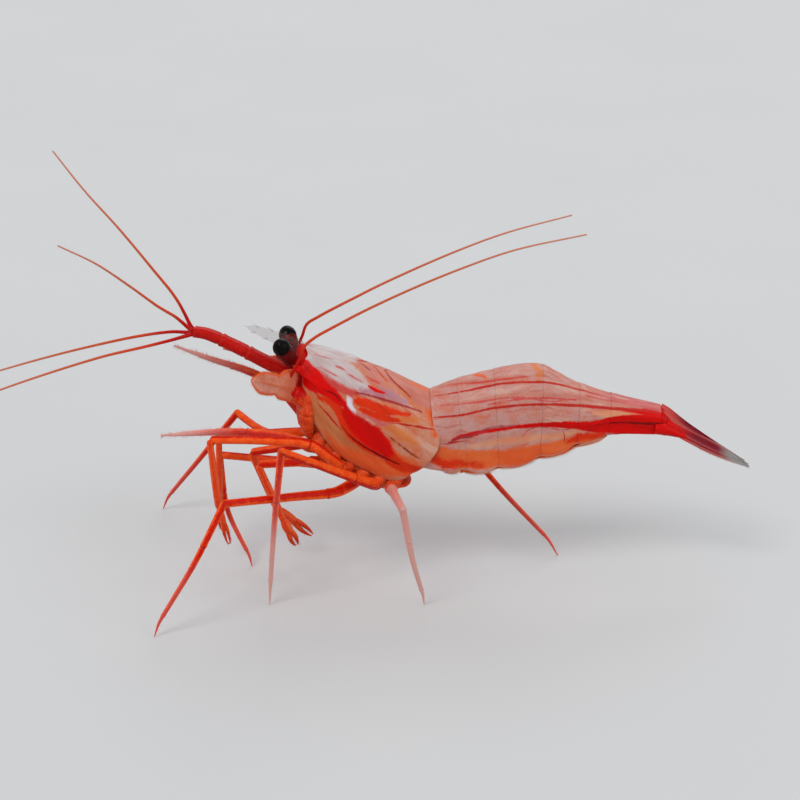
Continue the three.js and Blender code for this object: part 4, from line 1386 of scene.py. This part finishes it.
def limb_material():
    paint = wet_paint("limb", ((232, 84, 24), (224, 66, 16), (236, 116, 56)), cloud=0.9)
    rough = paint.math("ADD", paint.value("side"), paint.wander(paint.noise(0.5), 0.7))
    paint.over((190, 22, 6), rough, 0.62, 0.95)
    paint.over((172, 16, 8), "ring", 0.3, 0.9, 0.0, 0.7)
    paint.over((206, 158, 150), "fade")
    return paint.finished()


def claw_material():
    paint = wet_paint("claw", ((220, 92, 40), (214, 72, 26), (230, 140, 92)), cloud=0.8)
    paint.over((200, 36, 10), "side", 0.7, 1.0, 0.0, 0.7)
    paint.over((176, 34, 16), "along", 0.84, 0.95, 0.0, 0.65)
    return paint.finished()


def feeler_material():
    paint = wet_paint("feeler", ((178, 12, 8), (166, 14, 8), (190, 40, 24)), cloud=1.0)
    paint.over((190, 62, 30), "along", 0.1, 0.2)
    paint.over((186, 92, 62), "along", 0.15, 0.5)
    paint.over((186, 128, 108), "along", 0.45, 1.0)
    return paint.finished()


def scale_material():
    """Thin translucent plates with an orange rim."""
    paint = wet_paint("scale", ((214, 140, 112), (206, 118, 90), (226, 164, 142)))
    along, across = paint.value("along"), paint.size_of("across")
    rim = paint.between(across, 0.6, 0.95)
    paint.over((216, 84, 34), rim)
    paint.over((206, 96, 52), across, 0.04, 0.16, 0.6, 0.0)
    paint.over((192, 84, 54), along, 0.1, 0.5, 0.7, 0.0)
    inner = paint.math("MAXIMUM", paint.between(along, 0.2, 0.7, 0.95, 0.74), rim)
    paint.set("Alpha", paint.math("MULTIPLY", inner, paint.between(along, 0.0, 0.08)))
    return paint.finished()


def leaf_material():
    paint = wet_paint("leaf", ((222, 88, 36), (214, 68, 26), (232, 132, 84)))
    paint.over((222, 158, 132), paint.size_of("across"), 0.75, 0.98)
    return paint.finished()


def fan_material(name, root):
    """Wine red along the ribs, and clear grey at the tip."""
    paint = wet_paint(name, ((166, 14, 14), (146, 14, 22), (178, 40, 36)), cloud=0.9)
    along, across = paint.value("along"), paint.size_of("across")
    paint.over((124, 20, 34), along, 0.05, 0.4)
    paint.over((84, 10, 24), across, 0.05, 0.25, 0.8, 0.0)
    paint.over((172, 92, 84), across, 0.5, 0.95, 0.0, 0.75)
    paint.tone = paint.mix(paint.between(along, 0.04, 0.36), rgb(*root), paint.tone)
    paint.over((150, 146, 142), along, 0.62, 0.85)
    paint.set("Alpha", paint.between(along, 0.66, 0.95, 1.0, 0.6))
    return paint.finished()


def beak_material():
    paint = wet_paint("rostrum", ((138, 112, 106), (124, 92, 86), (150, 124, 118)))
    clear = paint.value("clear")
    paint.over((190, 166, 160), clear, 0.1, 0.6, 1.0, 0.0)
    paint.set("Alpha", paint.between(clear, 0.0, 0.5, 0.9, 0.13))
    return paint.finished()


def eye_material():
    paint = wet_paint("eye", ((6, 6, 4), (9, 6, 5), (20, 10, 8)), roughness=0.2, soft=0.0, coat=0.0)
    # A painted reflection: dark red from the body, on the half of the eye towards the stalk.
    paint.over((58, 14, 12), "polar", 0.5, 0.85)
    return paint.finished()


def stalk_material():
    paint = wet_paint("stalk", ((96, 10, 10), (68, 7, 7), (122, 20, 16)))
    paint.over((182, 8, 5), "along", 0.2, 0.6, 1.0, 0.0)
    return paint.finished()


def floor_material():
    paint = Paint("pale_floor", Roughness=0.85)
    paint.tone = rgb(190, 191, 192)
    paint.over((196, 196, 195), paint.noise(40))
    return paint.finished()


# --- The whole scene ---

bpy.context.scene.view_settings.view_transform = "Standard"
add_camera()
add_studio(floor_material())
flesh, limb = flesh_material(), limb_material()
add_carapace(carapace_material())
add_beak(beak_material())
add_trunk(flesh)
add_tail_plates(tail_material())
add_tail_flesh(flesh)
add_swimmerets(leaf_material())
add_telson(fan_material("fan_middle", (188, 74, 68)))
add_uropods(fan_material("fan", (196, 9, 6)))
add_antennal_scales(scale_material())
add_eyes(eye_material(), stalk_material())
add_feelers(feeler_material(), flesh)
add_walking_legs(limb)
add_maxillipeds(limb)
add_claw_legs(limb, claw_material())
add_mouthparts(flesh)
